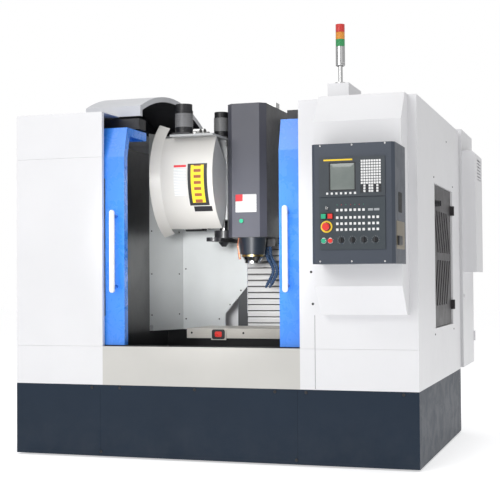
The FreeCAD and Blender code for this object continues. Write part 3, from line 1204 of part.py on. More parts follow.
def cabinet_door():
    """Flat door on the cabinet's right side with its knuckles and lock boss."""
    x0 = CABINET_RIGHT + SEAL_GAP
    x1 = CABINET_DOOR_OUT
    y0 = CABINET_FRONT + 3
    y1 = CABINET_REAR - HINGE_R - 3
    leaf = box(x0, x1, y0, y1, CABINET_BOTTOM, CABINET_TOP)
    leaf = leaf.cut(box(x0 - 1, x1 - SHEET, y0 + SHEET, y1 - SHEET, CABINET_BOTTOM + SHEET, CABINET_TOP - SHEET))
    knuckles = [rod((x1 + HINGE_R - 1, y1 + 2, z), (0, 0, 1), HINGE_R, 70)
                for z in (CABINET_BOTTOM + 150, CABINET_TOP - 220)]
    boss = rod((x1 - 1, y0 + 37, 900), (1, 0, 0), 14, 9)
    return fuse([leaf, boss] + knuckles)


def heat_exchanger():
    """Cooling unit on the cabinet door, with a sloping top and a louvre slot in its side."""
    x0 = CABINET_DOOR_OUT
    x1 = EXCHANGER_OUT
    y0, y1 = EXCHANGER_Y
    z0, z1 = EXCHANGER_Z
    outline = [(x0, z0), (x1, z0), (x1, z1 - 24), (x1 - 24, z1), (x0, z1)]
    outer = prism_y(outline, y0, y1)
    inner = box(x0 + SHEET, x1 - SHEET, y0 + SHEET, y1 - SHEET, z0 + SHEET, z1 - 30)
    tray = box(x1 - 24, x1 - 1, y0 + 86, y1 - 56, z1 - 194, z1 - 36)
    recess = box(x1 - 21, x1 + 1, y0 + 90, y1 - 60, z1 - 190, z1 - 40)
    bars = [box(x1 - 6, x1 - 0.5, y0 + 88, y1 - 58, z1 - 182 + 22 * i, z1 - 172 + 22 * i) for i in range(7)]
    return fuse([outer.cut(inner).fuse(tray).cut(recess)] + bars)


NODES = {
    "bed": bed, "column": column, "leveling_feet": leveling_feet, "skirt_panels": skirt_panels,
    "front_apron": front_apron, "front_panels": front_panels, "left_side_panel": left_side_panel,
    "right_side_panel": right_side_panel, "rear_and_roof_panels": rear_and_roof_panels,
    "magazine_hood": magazine_hood, "door_rails": door_rails, "inner_walls": inner_walls,
    "chip_pan": chip_pan, "z_way_cover": z_way_cover, "axis_drives": axis_drives,
    "x_axis_drive": x_axis_drive, "saddle": saddle, "y_cover_front": y_cover_front,
    "y_cover_rear": y_cover_rear, "table": table, "spindle_head": spindle_head, "head_cover": head_cover,
    "spindle": spindle, "coolant_fittings": coolant_fittings, "operator_console": operator_console,
    "pendant_housing": pendant_housing, "display_unit": display_unit, "operator_panel": operator_panel,
    "estop_button": estop_button, "key_switch": key_switch, "unclamp_button": unclamp_button,
    "tower_light_box": tower_light_box, "tower_light_mast": tower_light_mast, "tower_lenses": tower_lenses,
    "magazine_cover": magazine_cover, "changer_gearbox": changer_gearbox, "changer_motors": changer_motors,
    "magazine_disc": magazine_disc, "change_pot": change_pot, "arm_shaft": arm_shaft,
    "changer_arm": changer_arm, "side_door": side_door, "side_door_knob": side_door_knob,
    "electrical_cabinet": electrical_cabinet, "cabinet_door": cabinet_door, "heat_exchanger": heat_exchanger,
    "left_door": lambda: door(LEFT_DOOR_EDGE, 1),
    "left_door_window": lambda: door_window(LEFT_DOOR_EDGE, 1),
    "left_door_handle": lambda: door_handle(LEFT_DOOR_EDGE, 1),
    "right_door": lambda: door(RIGHT_DOOR_EDGE, -1),
    "right_door_window": lambda: door_window(RIGHT_DOOR_EDGE, -1),
    "right_door_handle": lambda: door_handle(RIGHT_DOOR_EDGE, -1),
    "power_on_button": lambda: push_button(LEFT_BUTTON_X, SQUARE_BUTTON_Z, True),
    "power_off_button": lambda: push_button(RIGHT_BUTTON_X, SQUARE_BUTTON_Z, True),
    "cycle_start_button": lambda: push_button(LEFT_BUTTON_X, ROUND_BUTTON_Z, False),
    "feed_hold_button": lambda: push_button(RIGHT_BUTTON_X, ROUND_BUTTON_Z, False),
}
for number, knob_x in enumerate(KNOB_X, 1):
    NODES[f"selector_knob_{number}"] = lambda x=knob_x: knob(x, KNOB_Z)


def main():
    """Build every piece and write it out in the machine's own frame."""
    os.makedirs("parts", exist_ok=True)
    for name, make in NODES.items():
        shape = make()
        shape.translate(-ORIGIN)
        if not shape.isValid() or shape.Volume <= 0:
            raise ValueError(f"{name} isn't a valid solid")
        print(f"{name}: {len(shape.Solids)} solid(s), {shape.Volume / 1e6:.3f} dm3")
        shape.exportStep(f"parts/{name}.step")
    print("origin", [round(v, 3) for v in ORIGIN])


main()
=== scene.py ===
"""Looks of the vertical machining centre: paints, metals, glass, and the small pieces on its panels.

Sizes here are in millimetres on the machine's own plan (x from the enclosure's middle, y from its front
sheets, z from the floor) and at() turns them into the frame's metres.
"""

import bmesh
import bpy
import numpy as np
from mathutils import Matrix, Vector


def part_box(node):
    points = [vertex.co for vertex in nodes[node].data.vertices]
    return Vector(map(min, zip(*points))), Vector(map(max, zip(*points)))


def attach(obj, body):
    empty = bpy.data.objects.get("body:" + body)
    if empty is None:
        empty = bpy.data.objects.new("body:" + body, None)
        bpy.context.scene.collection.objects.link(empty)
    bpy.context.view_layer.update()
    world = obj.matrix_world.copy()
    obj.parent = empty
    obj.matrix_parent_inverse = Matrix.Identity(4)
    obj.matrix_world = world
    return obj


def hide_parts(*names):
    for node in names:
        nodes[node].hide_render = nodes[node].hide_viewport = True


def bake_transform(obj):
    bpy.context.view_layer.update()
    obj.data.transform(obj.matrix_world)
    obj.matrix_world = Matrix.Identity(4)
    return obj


HALF_WIDTH = 1200.0
SPINDLE_AXIS = (20.0, 800.0)
MAGAZINE_AXIS = (800.0, 1664.0)
GUARD_RADIUS = 375.0

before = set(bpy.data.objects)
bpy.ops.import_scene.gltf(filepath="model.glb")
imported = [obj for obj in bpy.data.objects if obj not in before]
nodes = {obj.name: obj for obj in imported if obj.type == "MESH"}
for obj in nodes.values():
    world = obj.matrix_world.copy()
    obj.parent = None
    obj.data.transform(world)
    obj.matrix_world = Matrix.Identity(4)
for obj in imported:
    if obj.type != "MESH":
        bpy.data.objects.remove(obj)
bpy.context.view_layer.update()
side_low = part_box("left_side_panel")[0]
sheet_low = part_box("front_panels")[0]
ORIGIN = np.array([side_low.x * 1000 + HALF_WIDTH, sheet_low.y * 1000, 0.0])


def at(points):
    """Plan millimetres to frame metres: (p + origin) / 1000 on whole arrays."""
    return (np.asarray(points, float) + ORIGIN) / 1000


def plan(value, axis):
    """One plan coordinate along x, y or z as a plain number of frame metres."""
    return float(at([value] * 3)["xyz".index(axis)])


# ---------------------------------------------------------------- surfaces
def quads(rows, cols, wrap_rows=False, wrap_cols=False):
    """Corner numbers of every quad of a rows x cols grid; a wrapped side joins its last line to its first."""
    r = np.arange(rows if wrap_rows else rows - 1)[:, None]
    c = np.arange(cols if wrap_cols else cols - 1)[None, :]
    r2 = (r + 1) % rows
    c2 = (c + 1) % cols
    corners = [r * cols + c, r * cols + c2, r2 * cols + c2, r2 * cols + c]
    return np.stack(corners, -1).reshape(-1, 4)


def make_piece(name, verts, faces, body, material, slot, angle=40.0):
    """A mesh from whole arrays: poles merged, smooth below an edge angle, riding on a body if given one."""
    mesh = bpy.data.meshes.new(name)
    mesh.from_pydata(at(verts.reshape(-1, 3)).tolist(), [], faces.tolist())
    shell = bmesh.new()
    shell.from_mesh(mesh)
    bmesh.ops.remove_doubles(shell, verts=shell.verts, dist=1e-6)
    bmesh.ops.recalc_face_normals(shell, faces=shell.faces)
    shell.to_mesh(mesh)
    shell.free()
    mesh.update()
    mesh.shade_smooth()
    mesh.set_sharp_from_angle(angle=np.radians(angle))
    piece = bpy.data.objects.new(name, mesh)
    bpy.context.scene.collection.objects.link(piece)
    mesh.materials.append(material)
    if body:
        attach(piece, body)
    return piece


def copies(verts, faces, centres):
    """The same grid set down at each centre, as one mesh: v + c for every pair, faces counted on."""
    centres = np.asarray(centres, float).reshape(-1, 3)
    count = len(verts)
    placed = (centres[:, None, :] + verts[None, :, :]).reshape(-1, 3)
    shift = (np.arange(len(centres)) * count)[:, None, None]
    return placed, (faces[None, :, :] + shift).reshape(-1, faces.shape[1])


def basis(axis):
    """Two directions square to an axis, so that (a, b, axis) is right-handed."""
    axis = np.asarray(axis, float) / np.linalg.norm(axis)
    helper = np.array([0.0, 0.0, 1.0]) if abs(axis[2]) < 0.9 else np.array([1.0, 0.0, 0.0])
    a = np.cross(helper, axis)
    a /= np.linalg.norm(a)
    return a, np.cross(axis, a), axis


def turned(profile, axis=(0, 0, 1), segments=48):
    """A profile of (radius, height) rows turned about an axis: r (cos t, sin t) square to it, h along it."""
    profile = np.asarray(profile, float)
    a, b, axis = basis(axis)
    t = np.linspace(0, 2 * np.pi, segments, endpoint=False)
    radius = np.maximum(profile[:, 0], 1e-4)[:, None, None]
    ring = np.cos(t)[None, :, None] * a + np.sin(t)[None, :, None] * b
    verts = radius * ring + profile[:, 1][:, None, None] * axis
    faces = quads(len(profile), segments, wrap_cols=True)
    return verts.reshape(-1, 3), faces


def rounded_outline(width, height, radius, steps=6):
    """Rounded rectangle as (x, z) rows, anticlockwise: four quarter circles of one radius at the corners."""
    t = np.linspace(0, np.pi / 2, steps)
    arc = np.stack([np.cos(t), np.sin(t)], 1) * radius
    w = width / 2 - radius
    h = height / 2 - radius
    quarters = np.array([[[1, 0], [0, 1]], [[0, 1], [-1, 0]], [[-1, 0], [0, -1]], [[0, -1], [1, 0]]])
    centres = np.array([[w, h], [-w, h], [-w, -h], [w, -h]])
    return np.concatenate([centre + arc @ quarter for centre, quarter in zip(centres, quarters)])


def stood_up(rings, out):
    """Rings of (x, z) rows set upright, each at its own y = -out."""
    x, z = rings[..., 0], rings[..., 1]
    return np.stack([x, 0 * x - out[:, None], z], -1).reshape(-1, 3)


def raised_plate(width, height, radius, depth, edge=0.8, crown=0.0, steps=5):
    """A plate on a wall facing -Y: its outline is carried out by depth, rounded over by edge and closed.

    Rings are the outline shrunk by s(u) at y = -d(u); the last rings shrink to the middle under a crown.
    """
    outline = rounded_outline(width, height, radius)
    t = np.linspace(0, np.pi / 2, steps)
    inset = np.concatenate([[0.0], edge * (1 - np.cos(t))])
    out = np.concatenate([[0.0, 0.0], depth - edge + edge * np.sin(t)])
    size = np.array([width, height]) / 2
    rings = outline[None] * (1 - inset[:, None, None] / size)
    fill = np.array([0.66, 0.33, 0.0])
    inner = rings[-1][None] * fill[:, None, None]
    rings = np.concatenate([rings[:1] * 0, rings, inner])
    out = np.concatenate([out, depth + crown * (1 - fill ** 2)])
    return stood_up(rings, out), quads(len(rings), rings.shape[1], wrap_cols=True)


def frame_strip(width, height, radius, profile):
    """A closed (out, depth) profile carried round a rounded rectangle on a wall facing -Y."""
    outline = rounded_outline(width, height, radius, 8)
    size = np.array([width, height]) / 2
    profile = np.asarray(profile, float)
    rings = outline[None] * (1 + profile[:, 0][:, None, None] / size)
    return stood_up(rings, profile[:, 1]), quads(len(rings), rings.shape[1], True, True)


def tube(path, radii, segments=18):
    """Circles of radius r(s) square to a path, each set by one helper direction that no path runs along."""
    path = np.asarray(path, float)
    tangent = np.gradient(path, axis=0)
    tangent /= np.linalg.norm(tangent, axis=1, keepdims=True)
    helper = np.array([0.13, 0.97, 0.2])
    side = np.cross(tangent, helper)
    side /= np.linalg.norm(side, axis=1, keepdims=True)
    up = np.cross(tangent, side)
    t = np.linspace(0, 2 * np.pi, segments, endpoint=False)
    ring = np.cos(t)[None, :, None] * side[:, None] + np.sin(t)[None, :, None] * up[:, None]
    verts = path[:, None] + np.asarray(radii, float)[:, None, None] * ring
    return verts.reshape(-1, 3), quads(len(path), segments, wrap_cols=True)


def join(*parts):
    """Several (verts, faces) grids as one: faces are counted on past the vertices before them."""
    verts, faces, start = [], [], 0
    for v, f in parts:
        verts.append(v)
        faces.append(f + start)
        start += len(v)
    return np.concatenate(verts), np.concatenate(faces)


def folded_sheet(outer, inner):
    """A closed thin plate from two facing grids: each row runs out along one and back along the other.

    The rows are loops, joined into a sleeve, and a strip of quads closes its first and its last row.
    """
    rows, cols = outer.shape[:2]
    verts = np.concatenate([outer, inner[:, ::-1]], 1).reshape(-1, 3)
    faces = [quads(rows, 2 * cols, wrap_cols=True)]
    k = np.arange(cols - 1)
    for row in (0, rows - 1):
        first = row * 2 * cols
        strip = np.stack([first + k, first + 2 * cols - 1 - k, first + 2 * cols - 2 - k, first + k + 1], -1)
        faces.append(strip[:, ::-1] if row else strip)
    return verts, np.concatenate(faces)


def curved_patch(radius, low, high, x0, x1, thick, rows=24, cols=8):
    """A closed thin plate bent round the magazine's axis: y = cy - R cos t, z = cz + R sin t, x0 to x1."""
    t = np.radians(np.linspace(low, high, rows))[:, None]
    x = np.linspace(x0, x1, cols)[None, :]
    skins = []
    for r in (radius + thick, radius):
        y = MAGAZINE_AXIS[0] - r * np.cos(t) + 0 * x
        z = MAGAZINE_AXIS[1] + r * np.sin(t) + 0 * x
        skins.append(np.stack([x + 0 * t, y, z], -1))
    return folded_sheet(*skins)


# ---------------------------------------------------------------- shared effects
def new_group(name, inputs, outputs):
    """A shader node group with named sockets; returns its tree, its input node and its output node."""
    tree = bpy.data.node_groups.new(name, "ShaderNodeTree")
    kinds = {"f": "NodeSocketFloat", "v": "NodeSocketVector"}
    for label, kind in inputs:
        tree.interface.new_socket(name=label, in_out="INPUT", socket_type=kinds[kind])
    for label, kind in outputs:
        tree.interface.new_socket(name=label, in_out="OUTPUT", socket_type=kinds[kind])
    return tree, tree.nodes.new("NodeGroupInput"), tree.nodes.new("NodeGroupOutput")


def node(tree, kind, **settings):
    """A node with its settings; a key that names an input sets that input's value."""
    made = tree.nodes.new("ShaderNode" + kind)
    for key, value in settings.items():
        if hasattr(made, key):
            setattr(made, key, value)
        else:
            made.inputs[key.replace("_", " ")].default_value = value
    return made


def feed(tree, source, target):
    """Joins an output socket to an input socket."""
    tree.links.new(source, target)


def calc(tree, operation, a, b=0.0, clamp=False):
    """A Math node of two values, each a socket or a number; returns its output."""
    made = node(tree, "Math", operation=operation, use_clamp=clamp)
    for slot, value in zip(made.inputs, (a, b)):
        if isinstance(value, (int, float)):
            slot.default_value = value
        else:
            feed(tree, value, slot)
    return made.outputs[0]


def above(tree, value, limit):
    """1 where a value is above a limit, else 0."""
    return calc(tree, "GREATER_THAN", value, limit)


def under(tree, value, limit):
    """1 where a value is under a limit, else 0."""
    return calc(tree, "LESS_THAN", value, limit)


def all_of(tree, mask, *others):
    """1 where every mask is 1: their product."""
    for other in others:
        mask = calc(tree, "MULTIPLY", mask, other)
    return mask


def ramp(tree, value, low, high):
    """Map Range from low..high to 0..1."""
    made = node(tree, "MapRange")
    feed(tree, value, made.inputs["Value"])
    made.inputs["From Min"].default_value = low
    made.inputs["From Max"].default_value = high
    return made.outputs["Result"]


def blend_colours(tree, factor, a, b):
    """Mix Color of two colours by a factor's socket; each colour is a socket or an (r, g, b)."""
    made = node(tree, "Mix", data_type="RGBA")
    feed(tree, factor, made.inputs[0])
    for slot, value in ((made.inputs[6], a), (made.inputs[7], b)):
        if isinstance(value, tuple):
            slot.default_value = value + (1.0,)
        else:
            feed(tree, value, slot)
    return made.outputs[2]


def split(tree, vector):
    """The X, Y and Z outputs of a vector's socket."""
    made = node(tree, "SeparateXYZ")
    feed(tree, vector, made.inputs[0])
    return made.outputs


def coat_texture():
    """Sprayed paint: fine orange-peel height, slow unevenness of tone, and smudges for the roughness."""
    tree, start, end = new_group("sprayed_coat", [("Vector", "v"), ("Peel Scale", "f"), ("Cloud Scale", "f")],
                                 [("Peel", "f"), ("Cloud", "f"), ("Smudge", "f")])
    peel = node(tree, "TexNoise", Detail=3.0, Roughness=0.6)
    cloud = node(tree, "TexNoise", Detail=4.0, Roughness=0.55)
    smudge = node(tree, "TexNoise", Detail=6.0, Roughness=0.7, Distortion=0.6)
    for texture, scale in ((peel, "Peel Scale"), (cloud, "Cloud Scale")):
        feed(tree, start.outputs["Vector"], texture.inputs["Vector"])
        feed(tree, start.outputs[scale], texture.inputs["Scale"])
    feed(tree, start.outputs["Vector"], smudge.inputs["Vector"])
    feed(tree, calc(tree, "MULTIPLY", start.outputs["Cloud Scale"], 3.7), smudge.inputs["Scale"])
    feed(tree, peel.outputs["Fac"], end.inputs["Peel"])
    feed(tree, ramp(tree, cloud.outputs["Fac"], 0.3, 0.7), end.inputs["Cloud"])
    feed(tree, ramp(tree, smudge.outputs["Fac"], 0.42, 0.72), end.inputs["Smudge"])
    return tree


def metal_grain():
    """Ground or brushed metal: long thin scratches along one direction, and slow changes of shade."""
    tree, start, end = new_group("metal_grain", [("Vector", "v"), ("Stretch", "v")],
                                 [("Lines", "f"), ("Shade", "f")])
    scaled = node(tree, "VectorMath", operation="MULTIPLY")
    feed(tree, start.outputs["Vector"], scaled.inputs[0])
    feed(tree, start.outputs["Stretch"], scaled.inputs[1])
    lines = node(tree, "TexNoise", Scale=1.0, Detail=5.0, Roughness=0.65)
    shade = node(tree, "TexNoise", Scale=4.0, Detail=3.0)
    feed(tree, scaled.outputs[0], lines.inputs["Vector"])
    feed(tree, start.outputs["Vector"], shade.inputs["Vector"])
    feed(tree, lines.outputs["Fac"], end.inputs["Lines"])
    feed(tree, ramp(tree, shade.outputs["Fac"], 0.3, 0.7), end.inputs["Shade"])
    return tree


def settled_dust():
    """Dust and drying marks: strongest on upward faces and low on the machine, patchy elsewhere."""
    tree, start, end = new_group("settled_dust", [("Vector", "v"), ("Floor Height", "f")], [("Dust", "f")])
    height = split(tree, start.outputs["Vector"])["Z"]
    low = calc(tree, "SUBTRACT", 1.0, calc(tree, "DIVIDE", height, start.outputs["Floor Height"]), True)
    upward = split(tree, node(tree, "NewGeometry").outputs["Normal"])["Z"]
    top = ramp(tree, upward, 0.6, 1.0)
    patches = node(tree, "TexNoise", Scale=9.0, Detail=7.0, Roughness=0.7)
    feed(tree, start.outputs["Vector"], patches.inputs["Vector"])
    patchy = ramp(tree, patches.outputs["Fac"], 0.38, 0.75)
    amount = calc(tree, "MULTIPLY", calc(tree, "MAXIMUM", low, top), patchy)
    feed(tree, amount, end.inputs["Dust"])
    return tree


COAT = coat_texture()
GRAIN = metal_grain()
DUST = settled_dust()
DUST_COLOUR = (0.42, 0.40, 0.37)


def place_group(tree, group, vector, **values):
    """Places a shared effect in a material, fed with coordinates and its own values."""
    made = tree.nodes.new("ShaderNodeGroup")
    made.node_tree = group
    feed(tree, vector, made.inputs["Vector"])
    for key, value in values.items():
        made.inputs[key.replace("_", " ")].default_value = value
    return made


def bare_material(name, metallic=0.0, roughness=0.5, **settings):
    """A material with its Principled node and Object coordinates; returns material, tree, shader, vector."""
    material = bpy.data.materials.new(name)
    material.use_nodes = True
    tree = material.node_tree
    shader = tree.nodes["Principled BSDF"]
    shader.inputs["Metallic"].default_value = metallic
    shader.inputs["Roughness"].default_value = roughness
    for key, value in settings.items():
        shader.inputs[key.replace("_", " ")].default_value = value
    return material, tree, shader, node(tree, "TexCoord").outputs["Object"]


def set_bump(tree, shader, height, strength, distance):
    """Bump from a height socket into the shader's normal."""
    made = node(tree, "Bump", Strength=strength, Distance=distance)
    feed(tree, height, made.inputs["Height"])
    feed(tree, made.outputs["Normal"], shader.inputs["Normal"])


def shades(colour, spread):
    """A colour's darker and lighter neighbours: times 1 - spread, and times 1 + spread up to white."""
    return tuple(c * (1 - spread) for c in colour), tuple(min(1.0, c * (1 + spread)) for c in colour)


def paint(name, colour, rough=0.35, peel=0.12, scale=420.0, dust=0.25, shade=0.06, coat=0.15, floor=0.7,
          shine=0.5):
    """Sprayed or powder paint: tone clouds, peel, smudges and dust."""
    material, tree, shader, vector = bare_material(name, roughness=rough, Coat_Roughness=0.2)
    shader.inputs["Coat Weight"].default_value = coat
    shader.inputs["Specular IOR Level"].default_value = shine
    spray = place_group(tree, COAT, vector, Peel_Scale=scale, Cloud_Scale=2.3)
    tone = blend_colours(tree, spray.outputs["Cloud"], *shades(colour, shade))
    if dust:
        fall = place_group(tree, DUST, vector, Floor_Height=floor)
        amount = calc(tree, "MULTIPLY", fall.outputs["Dust"], dust)
        tone = blend_colours(tree, amount, tone, DUST_COLOUR)
    feed(tree, tone, shader.inputs["Base Color"])
    rougher = calc(tree, "MULTIPLY", spray.outputs["Smudge"], 0.12)
    feed(tree, calc(tree, "ADD", rougher, rough), shader.inputs["Roughness"])
    set_bump(tree, shader, spray.outputs["Peel"], peel, 0.0006)
    return material


def metal(name, colour, rough=0.28, stretch=(30.0, 400.0, 400.0), shade=0.14, bump=0.12, metallic=1.0):
    """Ground, brushed or turned metal with its scratches along the axis whose stretch is smallest."""
    material, tree, shader, vector = bare_material(name, metallic=metallic, roughness=rough)
    grain = place_group(tree, GRAIN, vector, Stretch=stretch)
    darker, lighter = shades(colour, shade)
    tone = blend_colours(tree, grain.outputs["Lines"], darker, lighter)
    tone = blend_colours(tree, calc(tree, "MULTIPLY", grain.outputs["Shade"], 0.25), tone, darker)
    feed(tree, tone, shader.inputs["Base Color"])
    spread = calc(tree, "MULTIPLY", grain.outputs["Lines"], 0.22)
    feed(tree, calc(tree, "ADD", spread, rough - 0.08), shader.inputs["Roughness"])
    set_bump(tree, shader, grain.outputs["Lines"], bump, 0.0003)
    return material


def plastic(name, colour, rough=0.4, grain=0.15, coat=0.0):
    """Moulded plastic: fine pebble grain, faint tone changes and finger marks."""
    material, tree, shader, vector = bare_material(name, roughness=rough)
    shader.inputs["Coat Weight"].default_value = coat
    mould = place_group(tree, COAT, vector, Peel_Scale=900.0, Cloud_Scale=14.0)
    darker = tuple(c * 0.93 for c in colour)
    feed(tree, blend_colours(tree, mould.outputs["Cloud"], darker, colour), shader.inputs["Base Color"])
    marks = calc(tree, "MULTIPLY", mould.outputs["Smudge"], 0.16)
    feed(tree, calc(tree, "ADD", marks, rough), shader.inputs["Roughness"])
    set_bump(tree, shader, mould.outputs["Peel"], grain, 0.0004)
    return material


WHITE = paint("white_powder_coat", (0.76, 0.76, 0.775), 0.38, dust=0.1, shade=0.02)
BASE = paint("base_blue_grey", (0.012, 0.023, 0.041), 0.42, dust=0.03, coat=0.0, floor=0.35, shine=0.22)
SILL = paint("sill_warm_grey", (0.56, 0.55, 0.52), 0.30, dust=0.1, shade=0.04)
BLUE = paint("door_blue", (0.045, 0.26, 0.90), 0.24, dust=0.0, shade=0.015, coat=0.5)
PENDANT = paint("pendant_slate", (0.040, 0.051, 0.072), 0.40, dust=0.08, scale=700.0)
GUARD = paint("guard_warm_grey", (0.60, 0.585, 0.555), 0.36, dust=0.1, shade=0.03)
CASTING = paint("casting_grey", (0.50, 0.51, 0.51), 0.45, peel=0.4, scale=160.0, dust=0.2)
BLACK_STEEL = paint("blackened_steel", (0.018, 0.018, 0.021), 0.42, dust=0.1, shade=0.2)
SIDE_GREY = paint("side_door_grey", (0.040, 0.037, 0.040), 0.34, dust=0.08, shade=0.08, coat=0.0, shine=0.3)
WET_STEEL = metal("oiled_dark_steel", (0.030, 0.030, 0.032), 0.30, (18.0, 120.0, 320.0), metallic=0.7)
GROUND = metal("ground_steel", (0.62, 0.62, 0.61), 0.24, (260.0, 30.0, 300.0))
TURNED = metal("turned_steel", (0.66, 0.66, 0.66), 0.2, (90.0, 90.0, 900.0))
TABLE_IRON = metal("ground_table_iron", (0.56, 0.535, 0.49), 0.42, (20.0, 300.0, 300.0), metallic=0.55)
BRONZE = metal("bronze_plate", (0.30, 0.26, 0.19), 0.34, (300.0, 20.0, 300.0))
GOLD = metal("gold_band", (0.72, 0.55, 0.22), 0.26, (200.0, 200.0, 900.0))
COPPER = metal("copper_nozzle", (0.70, 0.30, 0.18), 0.26, (200.0, 200.0, 700.0))
SLATS = metal("way_cover_slats", (0.50, 0.495, 0.49), 0.36, (18.0, 260.0, 420.0), metallic=0.75)
BLACK = plastic("black_moulding", (0.022, 0.022, 0.025), 0.38)
RUBBER = plastic("black_rubber", (0.014, 0.014, 0.015), 0.66, 0.3)
MODULE = plastic("module_grey", (0.042, 0.052, 0.062), 0.46)
PANEL = plastic("panel_grey", (0.036, 0.048, 0.058), 0.5)
RED = plastic("red_button", (0.78, 0.03, 0.02), 0.26, 0.05, coat=0.4)
GREEN = plastic("green_button", (0.02, 0.42, 0.22), 0.26, 0.05, coat=0.4)
YELLOW = plastic("yellow_mark", (0.90, 0.62, 0.03), 0.4, 0.05)
KEY_WHITE = plastic("key_white", (0.80, 0.80, 0.80), 0.4, 0.08)
READOUT = plastic("readout_grey", (0.36, 0.38, 0.40), 0.22, 0.05, coat=0.4)
HOSE_BLUE = plastic("hose_blue", (0.02, 0.055, 0.13), 0.42)


# ---------------------------------------------------------------- two-colour finishes, painted shade and a painted highlight
# Where each colour ends, in plan millimetres.
GRIP_BACK = -9
HOOD_AXIS = (778, 894)
HOOD_INNER_SKIN = 1293.8
HOOD_HALF_SPAN = 538.5
HOOD_ENDS = (-857.5, -501)
HEAD_FLANK = 125.6
MOTOR_HIGHLIGHT_BAND = (1962, 2046)
POCKET_BACK = 924
COLUMN_FACE = 1262
NOSE_TOP = 1288


def two_tone_and_painted_light(name, base, other, mask, **settings):
    """A paint whose colour switches by mask(tree, x, y, z), a socket worked out from Object coordinates: on
    the handle and the head casting a real second colour, elsewhere painted shade and a painted highlight.
    """
    material = paint(name, base, **settings)
    tree = material.node_tree
    colour = tree.nodes["Principled BSDF"].inputs["Base Color"]
    vector = next(n for n in tree.nodes if n.type == "TEX_COORD").outputs["Object"]
    amount = mask(tree, *split(tree, vector))
    feed(tree, blend_colours(tree, amount, colour.links[0].from_socket, other), colour)
    return material


def below(value, axis):
    """A mask of painted shade for a two-colour paint: 1 where the plan coordinate along an axis is less than
    a value.
    """
    return lambda tree, *place: under(tree, place["xyz".index(axis)], plan(value, axis))


def behind_grip(tree, x, y, z):
    """1 on a handle's two legs, behind its grip."""
    return above(tree, y, plan(GRIP_BACK, "y"))


def painted_hood_shade(tree, x, y, z):
    """1 on the hood's inner skin, whose dark colour is painted shade: nearer its axis than the outer arc, and
    between its ends and its feet.
    """
    dy = calc(tree, "SUBTRACT", y, plan(HOOD_AXIS[0], "y"))
    dz = calc(tree, "SUBTRACT", z, plan(HOOD_AXIS[1], "z"))
    squares = calc(tree, "ADD", calc(tree, "MULTIPLY", dy, dy), calc(tree, "MULTIPLY", dz, dz))
    inner = under(tree, calc(tree, "SQRT", squares), HOOD_INNER_SKIN / 1000)
    between = under(tree, calc(tree, "ABSOLUTE", dy), HOOD_HALF_SPAN / 1000)
    low, high = (plan(end, "x") for end in HOOD_ENDS)
    return all_of(tree, inner, under(tree, x, high), above(tree, x, low), between)


def painted_flank_shade(tree, x, y, z):
    """1 on the head cover's two flanks, which stand in the machine's shade: there the darker colour is
    painted shade.
    """
    off = calc(tree, "ABSOLUTE", calc(tree, "SUBTRACT", x, plan(SPINDLE_AXIS[0], "x")))
    return above(tree, off, HEAD_FLANK / 1000)


def painted_motor_highlight(tree, x, y, z):
    """1 on the middle length of each changer motor, which is painted lighter as a painted highlight."""
    low, high = MOTOR_HIGHLIGHT_BAND
    return all_of(tree, above(tree, z, low / 1000), under(tree, z, high / 1000))


HANDLE = two_tone_and_painted_light("handle_white_on_blue", (0.86, 0.86, 0.87), (0.03, 0.16, 0.60), behind_grip,
                  rough=0.22, dust=0.0)
# The head cover's flanks get a darker colour as painted shade, not as a second paint.
HEAD = two_tone_and_painted_light("head_with_painted_flank_shade", (0.080, 0.082, 0.104), (0.028, 0.029, 0.037), painted_flank_shade,
                rough=0.34, dust=0.05)
# The changer motors are black; the lighter grey round their middles is a painted highlight.
MOTOR = two_tone_and_painted_light("motor_black_with_painted_highlight", (0.016, 0.016, 0.018), (0.22, 0.22, 0.225), painted_motor_highlight,
                 rough=0.3, dust=0.05)
# The hood's inner skin is painted dark as painted shade.
HOOD = two_tone_and_painted_light("hood_with_painted_inner_shade", (0.60, 0.61, 0.64), (0.03, 0.03, 0.035), painted_hood_shade, dust=0.15)
# The liner's front part, over the door pocket, is near black: painted shade.
LINER = two_tone_and_painted_light("liner_with_painted_pocket_shade", (0.60, 0.62, 0.62), (0.012, 0.012, 0.014), below(POCKET_BACK, "y"),
                 rough=0.3, dust=0.1)
# The column's front part is near black as painted shade; the column's own paint is the light grey.
COLUMN = two_tone_and_painted_light("column_with_painted_front_shade", (0.50, 0.51, 0.51), (0.05, 0.052, 0.056), below(COLUMN_FACE, "y"),
                  rough=0.42, peel=0.4, scale=160.0)
HEAD_CASTING = two_tone_and_painted_light("head_casting_and_nose", (0.45, 0.46, 0.47), (0.020, 0.026, 0.036),
                        below(NOSE_TOP, "z"), rough=0.34, peel=0.3, scale=160.0)
GLASS, _, glass_shader, _ = bare_material("door_glass", roughness=0.03, IOR=1.46, Transmission_Weight=1.0)
glass_shader.inputs["Base Color"].default_value = (0.86, 0.92, 0.93, 1.0)

